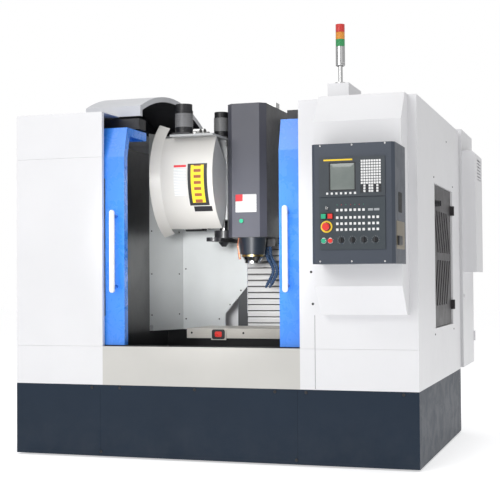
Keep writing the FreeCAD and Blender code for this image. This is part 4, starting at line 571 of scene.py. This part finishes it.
DRESS = (
    (WHITE, ("front_panels", "left_side_panel", "right_side_panel", "rear_and_roof_panels",
             "operator_console", "tower_light_box", "electrical_cabinet", "cabinet_door", "heat_exchanger")),
    (BASE, ("skirt_panels",)),
    (SILL, ("front_apron",)),
    (BLUE, ("left_door", "right_door")),
    (HANDLE, ("left_door_handle", "right_door_handle")),
    (GLASS, ("left_door_window", "right_door_window")),
    (PENDANT, ("pendant_housing",)),
    (GUARD, ("magazine_cover",)),
    (CASTING, ("changer_gearbox",)),
    (MOTOR, ("changer_motors",)),
    (HOOD, ("magazine_hood",)),
    (LINER, ("inner_walls",)),
    (COLUMN, ("column",)),
    (HEAD, ("head_cover",)),
    (HEAD_CASTING, ("spindle_head",)),
    (SIDE_GREY, ("side_door",)),
    (BLACK_STEEL, ("door_rails", "changer_arm")),
    (WET_STEEL, ("chip_pan", "saddle", "y_cover_front", "y_cover_rear", "bed")),
    (GROUND, ("axis_drives", "x_axis_drive", "magazine_disc")),
    (TURNED, ("spindle", "arm_shaft", "tower_light_mast", "leveling_feet", "key_switch")),
    (TABLE_IRON, ("table",)),
    (BLACK, ("change_pot", "side_door_knob", "selector_knob_1", "selector_knob_2", "selector_knob_3",
             "selector_knob_4")),
    (MODULE, ("display_unit",)),
    (PANEL, ("operator_panel",)),
    (RED, ("estop_button", "power_off_button", "feed_hold_button")),
    (GREEN, ("power_on_button", "cycle_start_button", "unclamp_button")),
)
for material, names in DRESS:
    for name in names:
        slots = nodes[name].data.materials
        slots.clear()
        slots.append(material)


# ---------------------------------------------------------------- setting pieces down
FRONT = (0, -1, 0)
RIGHT = (1, 0, 0)


def on_front(parts, y):
    """Moves (verts, faces) parts that face -Y so that their back lies at y, and joins them."""
    verts, faces = join(*parts)
    return verts + np.array([0.0, y, 0.0]), faces


def on_right(parts, x, y):
    """Turns parts that face -Y to face +X: (x, y, z) becomes (-y, x, z), then moves them to x and y."""
    verts, faces = join(*parts)
    return np.stack([x - verts[:, 1], y + verts[:, 0], verts[:, 2]], -1), faces


def plate_at(x0, x1, z0, z1, radius, depth, edge=0.8, crown=0.0):
    """A raised plate between two x and two z values, its back at y = 0."""
    verts, faces = raised_plate(x1 - x0, z1 - z0, radius, depth, edge, crown)
    return verts + np.array([(x0 + x1) / 2, 0.0, (z0 + z1) / 2]), faces


def strip_at(x0, x1, z0, z1, radius, profile):
    """A framing strip round the opening between two x and two z values, its back at y = 0."""
    verts, faces = frame_strip(x1 - x0, z1 - z0, radius, profile)
    return verts + np.array([(x0 + x1) / 2, 0.0, (z0 + z1) / 2]), faces


def grid_places(xs, y, zs):
    """Every (x, y, z) of columns xs and rows zs."""
    x, z = np.meshgrid(xs, zs)
    return np.stack([x.ravel(), np.full(x.size, float(y)), z.ravel()], -1)


def set_down(name, shape, places, material, slot, body="machine"):
    """One piece made of a shape's copies at every place."""
    return make_piece(name, *copies(*shape, places), body, material, slot)


# ---------------------------------------------------------------- screws and plugs
SCREW = [(0, 0), (9, 0), (9, 1.5), (7.6, 4.0), (5.2, 5.4), (4.2, 5.4), (4.0, 2.4), (0, 2.4)]
SMALL_SCREW = [(0, 0), (5.4, 0), (5.4, 1.0), (4.4, 2.4), (2.6, 2.9), (2.3, 1.2), (0, 1.2)]
PLUG = [(0, 0), (7, 0), (7, 0.6), (5.6, 0.9), (0, 0.9)]
TABLE_PLUG = [(0, 0), (6.5, 0), (6.5, 0.5), (5.2, 0.7), (0, 0.7)]
PENDANT_FRONT = -410
SLANT_NORMAL = (314.0, -115.0, 0.0)
SLANT_ROWS = (794, 1066, 1350)
REAR_LINER = 1240
skirt_places = [(x, 0, 405) for x in (-709, -534, -73, 400, 578, 1116)] + [(x, 0, 35) for x in (-652, 521)]
pendant_places = [(x, PENDANT_FRONT, z) for x, z in ((773, 1703), (938, 1704), (1108, 1706), (769, 1115),
                                                     (934, 1114), (1103, 1113))]
side_places = [(HALF_WIDTH, 1088, 1874)] + [(HALF_WIDTH, y, z) for y in (570, 1346) for z in (700, 1612)]
slant_places = [(-728, 945, z) for z in SLANT_ROWS + (1640,)] + [(-634, 1202, z) for z in SLANT_ROWS]
rear_places = [(x, REAR_LINER, z) for x, z in ((-283, 857), (-205, 952), (-600, 760), (-600, 1100),
                                               (-360, 760))]
set_down("skirt_screws", turned(SCREW, FRONT, 24), skirt_places, BLACK_STEEL, "dark_steel")
set_down("panel_plugs", turned(PLUG, FRONT, 24), [(612, 0, 1064), (621, 0, 889)], RUBBER, "black_plastic")
set_down("pendant_screws", turned(SMALL_SCREW, FRONT, 20), pendant_places, TURNED, "machined_steel")
set_down("side_screws", turned(SMALL_SCREW, RIGHT, 20), side_places, BLACK_STEEL, "dark_steel")
set_down("side_liner_screws", turned(SMALL_SCREW, SLANT_NORMAL, 18), slant_places, BLACK_STEEL, "dark_steel")
set_down("rear_liner_screws", turned(SMALL_SCREW, FRONT, 18), rear_places, BLACK_STEEL, "dark_steel")

# ---------------------------------------------------------------- window seals: lip, bulb and groove
SEAL = [(-3, -1.2), (-3, 1.4), (-1, 2.6), (2, 3.0), (6, 2.8), (9, 1.8), (10, 0.0), (8, -1.2)]
SEAL_BACK = 36.0
WINDOW_FROM_LEAD = (130, 572)
WINDOW_HEIGHTS = (820, 1620)
WINDOW_CORNER = 18
for side, lead, inward in (("left", -518, 1), ("right", 421, -1)):
    edges = sorted(lead - inward * reach for reach in WINDOW_FROM_LEAD)
    seal = on_front([strip_at(*edges, *WINDOW_HEIGHTS, WINDOW_CORNER, SEAL)], SEAL_BACK)
    make_piece(side + "_window_seal", *seal, side + "_door", RUBBER, "black_plastic")


# ---------------------------------------------------------------- plain labels
def bars(tree, z, pitch, share):
    """1 on bars that repeat up the height: where the fraction of z / pitch is under their share."""
    return under(tree, calc(tree, "FRACT", calc(tree, "DIVIDE", z, pitch / 1000)), share)


def print_on(tree, shader, vector, tone):
    """Prints a colour on foil: faded patches, a little wear in the gloss and a fine grain."""
    spray = place_group(tree, COAT, vector, Peel_Scale=900.0, Cloud_Scale=9.0)
    faded = calc(tree, "MULTIPLY", spray.outputs["Cloud"], 0.06)
    feed(tree, blend_colours(tree, faded, tone, (0.3, 0.3, 0.3)), shader.inputs["Base Color"])
    smudged = calc(tree, "MULTIPLY", spray.outputs["Smudge"], 0.1)
    feed(tree, calc(tree, "ADD", smudged, 0.4), shader.inputs["Roughness"])
    set_bump(tree, shader, spray.outputs["Peel"], 0.05, 0.0003)


def barred_label(name, paper, ink, pitch, share, span):
    """A plain label with a column of short bars between the two x values of its span."""
    material, tree, shader, vector = bare_material(name, roughness=0.4)
    x, y, z = split(tree, vector)
    left, right = (plan(end, "x") for end in span)
    inked = all_of(tree, bars(tree, z, pitch, share), above(tree, x, left), under(tree, x, right))
    print_on(tree, shader, vector, blend_colours(tree, inked, paper, ink))
    return material


def lined_label(name, paper, ink, header, header_z, pitch, header_x):
    """A plain label: a coloured head above header_z and left of header_x, and thin rules elsewhere."""
    material, tree, shader, vector = bare_material(name, roughness=0.4)
    x, y, z = split(tree, vector)
    ruled = blend_colours(tree, bars(tree, z, pitch, 0.3), paper, ink)
    head = all_of(tree, above(tree, z, header_z / 1000), under(tree, x, plan(header_x, "x")))
    print_on(tree, shader, vector, blend_colours(tree, head, ruled, header))
    return material


def arc_angle(z):
    """Angle on the magazine's guard, in degrees, at height z."""
    return np.degrees(np.arcsin((z - MAGAZINE_AXIS[1]) / GUARD_RADIUS))


PAPER = (0.74, 0.74, 0.72)
LABEL_LIFT = 0.2
GUARD_RULES = lined_label("label_rules", PAPER, (0.46, 0.48, 0.50), (0.66, 0.02, 0.03), 1711, 9.2, -280)
GUARD_BARS = barred_label("label_yellow", (0.86, 0.62, 0.01), (0.30, 0.07, 0.02), 36.5, 0.5, (-232, -186))
HEAD_RULES = lined_label("head_label_rules", PAPER, (0.42, 0.42, 0.44), (0.62, 0.02, 0.03), 1510, 9.8, 0)
for name, x0, x1, z0, z1, thick, material in (
        ("guard_white_label", -363, -283, 1538, 1725, 0.8, GUARD_RULES),
        ("guard_label_frame", -272, -146, 1479, 1731, 0.6, BLACK),
        ("guard_yellow_label", -251, -167, 1496, 1722, 1.1, GUARD_BARS),
        ("guard_black_label", -250, -134, 1444, 1474, 0.8, BLACK)):
    patch = curved_patch(GUARD_RADIUS + LABEL_LIFT, arc_angle(z0), arc_angle(z1), x0, x1, thick)
    make_piece(name, *patch, "machine", material, "white_plastic")
HEAD_FRONT = 670
head_plate = plate_at(-47, 89, 1442, 1553, 4, 0.9, 0.4)
make_piece("head_label", *on_front([head_plate], HEAD_FRONT), "head", HEAD_RULES, "white_plastic")


# ---------------------------------------------------------------- pendant: screen, keys, lamps
def screen_material():
    """Switched-off display glass: a dim green-grey with slow clouds and smudges."""
    material, tree, shader, vector = bare_material("screen_glass", roughness=0.12, Coat_Weight=0.6)
    cloud = place_group(tree, COAT, vector, Peel_Scale=500.0, Cloud_Scale=6.0)
    tone = blend_colours(tree, cloud.outputs["Cloud"], (0.15, 0.175, 0.165), (0.19, 0.215, 0.20))
    feed(tree, tone, shader.inputs["Base Color"])
    rough = calc(tree, "MULTIPLY", cloud.outputs["Smudge"], 0.18)
    feed(tree, calc(tree, "ADD", rough, 0.12), shader.inputs["Roughness"])
    return material


# Depths: the panel's face, the display's sunk face and the two keyboards' seats.
FACE = -416.0
SCREEN_FACE = FACE + 4
KEYPAD_FACE = FACE + 2
SCREEN = (826, 952, 1477, 1610)
BEZEL = [(0, 0), (0, 2.2), (1.2, 3.2), (4.5, 3.2), (6, 2.0), (6, 0)]
pane = plate_at(*SCREEN, 3, 1.6, 0.6, 0.8)
make_piece("screen", *on_front([pane], SCREEN_FACE), "machine", screen_material(), "pane")
bezel = strip_at(*SCREEN, 4, BEZEL)
make_piece("screen_bezel", *on_front([bezel], SCREEN_FACE), "machine", BLACK, "black_plastic")

DARK_KEYS_UNDER = 1495
cap = raised_plate(10.4, 10.6, 1.6, 2.6, 0.7, 0.2)
pads = grid_places(np.linspace(990, 1082, 8), KEYPAD_FACE, np.linspace(1466, 1619, 12))
dark = (pads[:, 2] < DARK_KEYS_UNDER) & (np.arange(len(pads)) * 5 % 8 < 4)
set_down("keypad_light_keys", cap, pads[~dark], KEY_WHITE, "white_plastic")
set_down("keypad_dark_keys", cap, pads[dark], BLACK, "black_plastic")
soft_places = [(811 + 24 * i, FACE - 2, 1458) for i in range(7)]
set_down("soft_keys", raised_plate(11.0, 11.0, 1.6, 1.4, 0.6, 0.2), soft_places, KEY_WHITE, "white_plastic")
make_piece("display_top_strip", *on_front([plate_at(792, 942, 1624, 1632, 1.5, 0.7, 0.3)], FACE), "machine",
           YELLOW, "white_plastic")

KEY_COLUMNS = np.array([862, 884, 907, 931, 953, 976, 998, 1026, 1048, 1070], float)
LAMP_COLUMNS = KEY_COLUMNS[:7]
LAMP_BEAD = [(0, 0), (1.7, 0), (1.7, 0.5), (1.3, 1.1), (0.7, 1.4), (0, 1.5)]
key_places = np.concatenate([grid_places(LAMP_COLUMNS, FACE - 1.5, [1373]),
                             grid_places(KEY_COLUMNS, FACE - 1.5, [1335, 1304, 1274])])
key = raised_plate(12.8, 12.8, 1.8, 1.3, 0.5, 0.25)
set_down("panel_keys", key, key_places, KEY_WHITE, "white_plastic")
bead = turned(LAMP_BEAD, FRONT, 14)
lamp_places = grid_places(LAMP_COLUMNS, FACE, [1400])
set_down("panel_green_lamps", bead, lamp_places[::2], GREEN, "green_plastic")
set_down("panel_red_lamps", bead, lamp_places[1::2], RED, "red_plastic")
windows = [plate_at(x0, x1, 1367, 1379, 1.5, 0.9, 0.4) for x0, x1 in ((1020, 1046), (1051, 1078))]
make_piece("readout_windows", *on_front(windows, FACE + 1.5), "machine", READOUT, "pane")

KNOB_XS = (882, 940, 998, 1057)
KNOB_Z = 1221
BUTTON_XS = (791, 826)
SQUARE_Z = 1343
SQUARE_HALF = 12.5
TICK_CIRCLE = 19.5
COLLAR = [(22, 0), (30.5, 0), (30.5, 1.2), (29, 2.4), (23, 2.9), (22, 2.0), (22, 0)]
DIAL = [(14, 0), (22, 0), (22, 0.3), (21, 0.4), (14.5, 0.4), (14, 0.3), (14, 0)]
ROUND_RING = [(12.4, 0), (15.5, 0), (15.5, 1.6), (14.4, 3.0), (12.9, 3.2), (12.4, 2.4), (12.4, 0)]
SQUARE_RING = [(0, 0), (0, 2.4), (1, 3.2), (2.6, 3.2), (3.4, 2.4), (3.4, 0)]
set_down("stop_collar", turned(COLLAR, FRONT), [(806, FACE - 2, 1290)], YELLOW, "white_plastic")
dial_places = [(x, FACE, KNOB_Z) for x in KNOB_XS]
set_down("knob_dials", turned(DIAL, FRONT, 40), dial_places, PANEL, "panel_plastic")
turns = np.radians(np.arange(-150, 151, 30))
ticks = [(x + TICK_CIRCLE * np.sin(t), FACE, KNOB_Z + TICK_CIRCLE * np.cos(t))
         for x in KNOB_XS for t in turns]
set_down("knob_ticks", raised_plate(2.0, 2.0, 0.7, 0.6, 0.2), ticks, KEY_WHITE, "white_plastic")
set_down("round_button_rings", turned(ROUND_RING, FRONT, 36), [(x, FACE, 1219) for x in BUTTON_XS], TURNED,
         "machined_steel")
squares = [strip_at(x - SQUARE_HALF, x + SQUARE_HALF, SQUARE_Z - SQUARE_HALF, SQUARE_Z + SQUARE_HALF, 0.5,
                    SQUARE_RING) for x in BUTTON_XS]
make_piece("square_button_rings", *on_front(squares, FACE), "machine", BLACK, "black_plastic")

PENDANT_SIDE = 1155
SOCKET_LIFT = 1.6
slot_hole = plate_at(-50, 50, 1362, 1466, 10, 0.8, 0.4)
make_piece("side_slot", *on_right([slot_hole], PENDANT_SIDE, -262), "machine", RUBBER, "black_plastic")
side_plate = plate_at(-108, 110, 1175, 1317, 6, SOCKET_LIFT, 0.8)
make_piece("side_plate", *on_right([side_plate], PENDANT_SIDE, -258), "machine", BRONZE, "machined_steel")
socket = plate_at(-88, 8, 1194, 1242, 8, 9, 3.0)
make_piece("side_socket", *on_right([socket], PENDANT_SIDE + SOCKET_LIFT, -262), "machine", BLACK,
           "black_plastic")

# ---------------------------------------------------------------- head: gold band, coolant lines
NOSE_BAND = [(68.2, 0), (69.4, 0.8), (69.6, 2), (69.6, 9), (69.4, 10.4), (68.2, 11.4), (66, 11.4), (66, 0),
             (68.2, 0)]
BAND_LOW = 1168.5
band = turned(NOSE_BAND, segments=72)
set_down("nose_band", band, [(*SPINDLE_AXIS, BAND_LOW)], GOLD, "machined_steel", "head")


def bend_through(points, count=170):
    """Catmull-Rom curve through points, evenly spaced."""
    p = np.asarray(points, float)
    p = np.concatenate([[2 * p[0] - p[1]], p, [2 * p[-1] - p[-2]]])
    t = np.linspace(0, 1, 40, endpoint=False)[:, None]
    spans = []
    for a, b, c, d in zip(p, p[1:], p[2:], p[3:]):
        spans.append(0.5 * (2 * b + (c - a) * t + (2 * a - 5 * b + 4 * c - d) * t ** 2 +
                            (3 * b - a - 3 * c + d) * t ** 3))
    path = np.concatenate(spans + [p[-2:-1]])
    length = np.concatenate([[0], np.cumsum(np.linalg.norm(np.diff(path, axis=0), axis=1))])
    even = np.linspace(0, length[-1], count)
    return np.stack([np.interp(even, length, path[:, i]) for i in range(3)], -1), even


def closed_tube(path, radii):
    """A tube whose two end circles shrink to points."""
    radii[0] = radii[-1] = 1e-4
    return tube(path, radii)


def coolant_line(points, joint=17.0, neck=8.6, swell=3.4, taper=30.0):
    """Ball-jointed hose: radius neck + swell |sin(pi s / joint)| along the path, narrower over its taper."""
    path, run = bend_through(points)
    radii = neck + swell * np.abs(np.sin(np.pi * run / joint))
    tip = np.clip((run[-1] - run) / taper, 0, 1)
    return closed_tube(path, radii * (0.45 + 0.55 * tip))


def air_pipe(points, thin=4.4, thick=7.4, tip=44, collar=42):
    """A thin pipe with a thicker tip, and a collar 10 mm long where the tip starts."""
    path, run = bend_through(points, 90)
    left = run[-1] - run
    return closed_tube(path, np.where(left < tip, thick, thin) + 1.0 * (np.abs(left - collar) < 5))


MANIFOLD_BACK = 957
LINE_PITCH = 26
lines = [coolant_line([(72 + s, 925, 1236), (80 + s, 920, 1168), (126 + s, 900, 1078), (82 + s, 872, 970)])
         for s in (0, LINE_PITCH)]
manifold = on_front([plate_at(56, 140, 1232, 1288.5, 7, 64, 4)], MANIFOLD_BACK)
pipe = air_pipe([(-52, 742, 1288), (-54, 738, 1262), (-56, 734, 1235), (-50, 737, 1196), (-44, 742, 1150)])
for piece in (make_piece("coolant_lines", *join(*lines), "head", HOSE_BLUE, "black_plastic", 60),
              make_piece("coolant_manifold", *manifold, "head", BLACK, "dark_steel"),
              make_piece("air_nozzle", *pipe, "head", COPPER, "machined_steel")):
    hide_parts("coolant_fittings")

# ---------------------------------------------------------------- tower light
TOWER_AXIS = (742, 190)
LENS_RADIUS = 25.0
LENS_RIB = 5.2
TOWER_BODY = [(0, 2221), (24, 2221), (26, 2223), (26, 2236), (24.6, 2238), (25.4, 2240), (25.4, 2326),
              (24, 2329), (0, 2329)]
tower = [set_down("tower_body", turned(TOWER_BODY), [(*TOWER_AXIS, 0)], TURNED, "machined_steel")]
for name, low, high, colour in (("green_lens", 2329.5, 2369.5, (0.02, 0.35, 0.10)),
                                ("amber_lens", 2370.5, 2409.5, (0.90, 0.35, 0.02)),
                                ("red_lens", 2410.5, 2455, (0.75, 0.03, 0.02))):
    z = np.linspace(low, high, 57)
    ribs = LENS_RADIUS + 0.9 * np.abs(np.sin(np.pi * (z - low) / LENS_RIB))
    lens = turned(np.concatenate([[(0, low)], np.stack([ribs, z], -1), [(0, high)]]))
    finish = plastic(name, colour, 0.18, 0.05, coat=0.5)
    finish.node_tree.nodes["Principled BSDF"].inputs["Transmission Weight"].default_value = 0.25
    tower.append(set_down(name + "_ring", lens, [(*TOWER_AXIS, 0)], finish, "lens"))
for piece in tower:
    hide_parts("tower_lenses")


# ---------------------------------------------------------------- motor fins, table insert, door seam
MOTOR_SEAT = 1914
TABLE_FRONT = 591


def motor_ribs(x, y, radius, height, pitch=12.0, rib=2.2):
    """Ribs turned round a motor's middle: radius + rib where sin(2 pi z / pitch) is positive."""
    z = np.linspace(0, height * 0.62, 111)
    outer = radius + 0.3 + rib * (np.sin(2 * np.pi * z / pitch) > 0)
    inner = radius - 3
    rows = np.concatenate([[(inner, 0)], np.stack([outer, z], -1), [(inner, z[-1])], [(inner, 0)]])
    verts, faces = turned(rows, segments=40)
    return verts + np.array([x, y, MOTOR_SEAT + height * 0.18]), faces


ribs = [motor_ribs(-321, 500, 54, 190), motor_ribs(-170, 765, 46, 170)]
make_piece("motor_fins", *join(*ribs), "machine", MOTOR, "dark_steel")
insert = plate_at(-160, -115, 673, 706, 8, 3.4, 0.8)
make_piece("table_end_insert", *on_front([insert], TABLE_FRONT), "table", RED, "red_plastic")
surround = plate_at(-180, -95, 659, 719, 12, 2.0, 0.8)
make_piece("table_end_frame", *on_front([surround], TABLE_FRONT), "table", BLACK, "black_plastic")
set_down("table_front_plugs", turned(TABLE_PLUG, FRONT, 24), [(x, 605, 697) for x in (-318, 20, 350)], RUBBER,
         "black_plastic", "table")
seam = plate_at(630, 632, 425, 828, 0.8, 0.4, 0.2)
make_piece("front_seam", *on_front([seam], 0), "machine", RUBBER, "black_plastic")

# ---------------------------------------------------------------- slatted cover between bed and head
SLAT_COUNT = 17
ROWS_PER_SLAT = 6
LAP_SHARE = 0.12
LAP_STEP = 0.006
LEAN = 0.72
FRONT_SETBACK = 0.001


def slatted_cover(low, high):
    """Slats that lap: over each one the front steps out, then leans back by LEAN of the step."""
    u = np.linspace(0, 1, SLAT_COUNT * ROWS_PER_SLAT + 1)
    stage = (u * SLAT_COUNT) % 1.0
    out = np.where(stage < LAP_SHARE, stage / LAP_SHARE, 1 - LEAN * (stage - LAP_SHARE) / (1 - LAP_SHARE))
    x = np.linspace(low.x, high.x, 13)[None, :] + 0 * u[:, None]
    y = (low.y + FRONT_SETBACK + (1 - out) * LAP_STEP)[:, None] + 0 * x
    z = (low.z + u * (high.z - low.z))[:, None] + 0 * x
    verts, faces = folded_sheet(np.stack([x, y, z], -1), np.stack([x, high.y + 0 * x, z], -1))
    return verts * 1000 - ORIGIN, faces


def darken_laps(material):
    """Draws the shadow under each lap, at even shares of the cover's height, so that it stretches with it."""
    tree = material.node_tree
    colour = tree.nodes["Principled BSDF"].inputs["Base Color"]
    share = node(tree, "Attribute", attribute_name="slat_share")
    turn = calc(tree, "FRACT", calc(tree, "MULTIPLY", share.outputs["Fac"], float(SLAT_COUNT)))
    gap = under(tree, turn, 0.13)
    feed(tree, blend_colours(tree, gap, colour.links[0].from_socket, (0.03, 0.03, 0.03)), colour)


darken_laps(SLATS)
cover_low, cover_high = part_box("z_way_cover")
slatted = slatted_cover(cover_low, cover_high)
way_cover = make_piece("slatted_way_cover", *slatted, None, SLATS, "stainless", 25.0)
heights = np.empty(len(way_cover.data.vertices) * 3)
way_cover.data.vertices.foreach_get("co", heights)
shares = (heights[2::3] - cover_low.z) / (cover_high.z - cover_low.z)
slat_share = way_cover.data.attributes.new("slat_share", "FLOAT", "POINT")
slat_share.data.foreach_set("value", shares.astype(np.float32))
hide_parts("z_way_cover")
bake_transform(way_cover)


# ---------------------------------------------------------------- camera, floor and light
def stand(name, data):
    """Puts a camera, a light or a mesh in the scene as an object."""
    made = bpy.data.objects.new(name, data)
    bpy.context.scene.collection.objects.link(made)
    return made


def place_camera(eye, yaw, pitch, roll, lens):
    """A camera at a plan point; yaw turns it to the left, pitch raises it and roll tips it, in degrees."""
    yaw, pitch, roll = np.radians([yaw, pitch, roll])
    forward = np.array([-np.sin(yaw) * np.cos(pitch), np.cos(yaw) * np.cos(pitch), np.sin(pitch)])
    level = np.array([np.cos(yaw), np.sin(yaw), 0.0])
    upright = np.cross(level, forward)
    right = level * np.cos(roll) + upright * np.sin(roll)
    top = -level * np.sin(roll) + upright * np.cos(roll)
    data = bpy.data.cameras.new("camera")
    data.sensor_width = 36.0
    data.lens = lens
    data.clip_start = 0.05
    data.clip_end = 80.0
    camera = stand("camera", data)
    columns = np.stack([right, top, -forward, at(eye)], 1)
    camera.matrix_world = Matrix(columns.tolist() + [[0, 0, 0, 1]])
    bpy.context.scene.camera = camera


def lay_floor(half=30):
    """A white studio floor that glows a little, so that it runs into the background."""
    material, tree, shader, vector = bare_material("studio_floor", roughness=0.9, Emission_Strength=0.52)
    shader.inputs["Base Color"].default_value = (0.94, 0.94, 0.95, 1.0)
    shader.inputs["Emission Color"].default_value = (1.0, 1.0, 1.0, 1.0)
    mesh = bpy.data.meshes.new("floor")
    corners = [(-half, -half, 0), (half, -half, 0), (half, half, 0), (-half, half, 0)]
    mesh.from_pydata(corners, [], [(0, 1, 2, 3)])
    mesh.materials.append(material)
    stand("floor", mesh)


def aim(light, place, gaze):
    """Sets a light down in frame metres and turns it along its gaze."""
    light.location = place
    light.rotation_mode = "QUATERNION"
    light.rotation_quaternion = Vector(gaze).to_track_quat("-Z", "Y")


def area_light(name, place, target, power, size=4.0):
    """A square soft light at a place, turned to its target."""
    data = bpy.data.lights.new(name, "AREA")
    data.size = size
    data.energy = power
    aim(stand(name, data), place, np.subtract(target, place))


def work_area_lamp(place, gaze, power):
    """A narrow lamp into the work area, as the machine's own lamps would light it."""
    data = bpy.data.lights.new("work_area_lamp", "SPOT")
    data.energy = power
    data.spot_size = np.radians(15.0)
    data.spot_blend = 0.6
    data.shadow_soft_size = 0.35
    aim(stand("work_area_lamp", data), place, gaze)


def white_world(seen, lit):
    """A white world: one strength as the camera sees it, another as it lights the machine."""
    world = bpy.data.worlds.new("studio")
    bpy.context.scene.world = world
    world.use_nodes = True
    sky = world.node_tree
    background = sky.nodes["Background"]
    background.inputs[0].default_value = (1.0, 1.0, 1.0, 1.0)
    sight = node(sky, "LightPath")
    level = node(sky, "MapRange", To_Min=lit, To_Max=seen)
    feed(sky, sight.outputs["Is Camera Ray"], level.inputs["Value"])
    feed(sky, level.outputs["Result"], background.inputs[1])


place_camera((2215.0, -6046.9, 1025.8), 17.902, 1.473, -0.388, 82.18)
lay_floor()
area_light("key", (-1.5, -6.5, 4.5), (0, 0, 1.1), 165)
area_light("fill", (4.5, -5.0, 2.5), (0.6, 0, 1.0), 16)
area_light("top", (0.0, 0.4, 5.5), (0, 0, 0), 90)
work_area_lamp((0.75, -4.6, 1.35), (-1.06, 4.9, -0.12), 1100)
white_world(1.0, 0.50)
bpy.context.scene.view_settings.view_transform = "Standard"
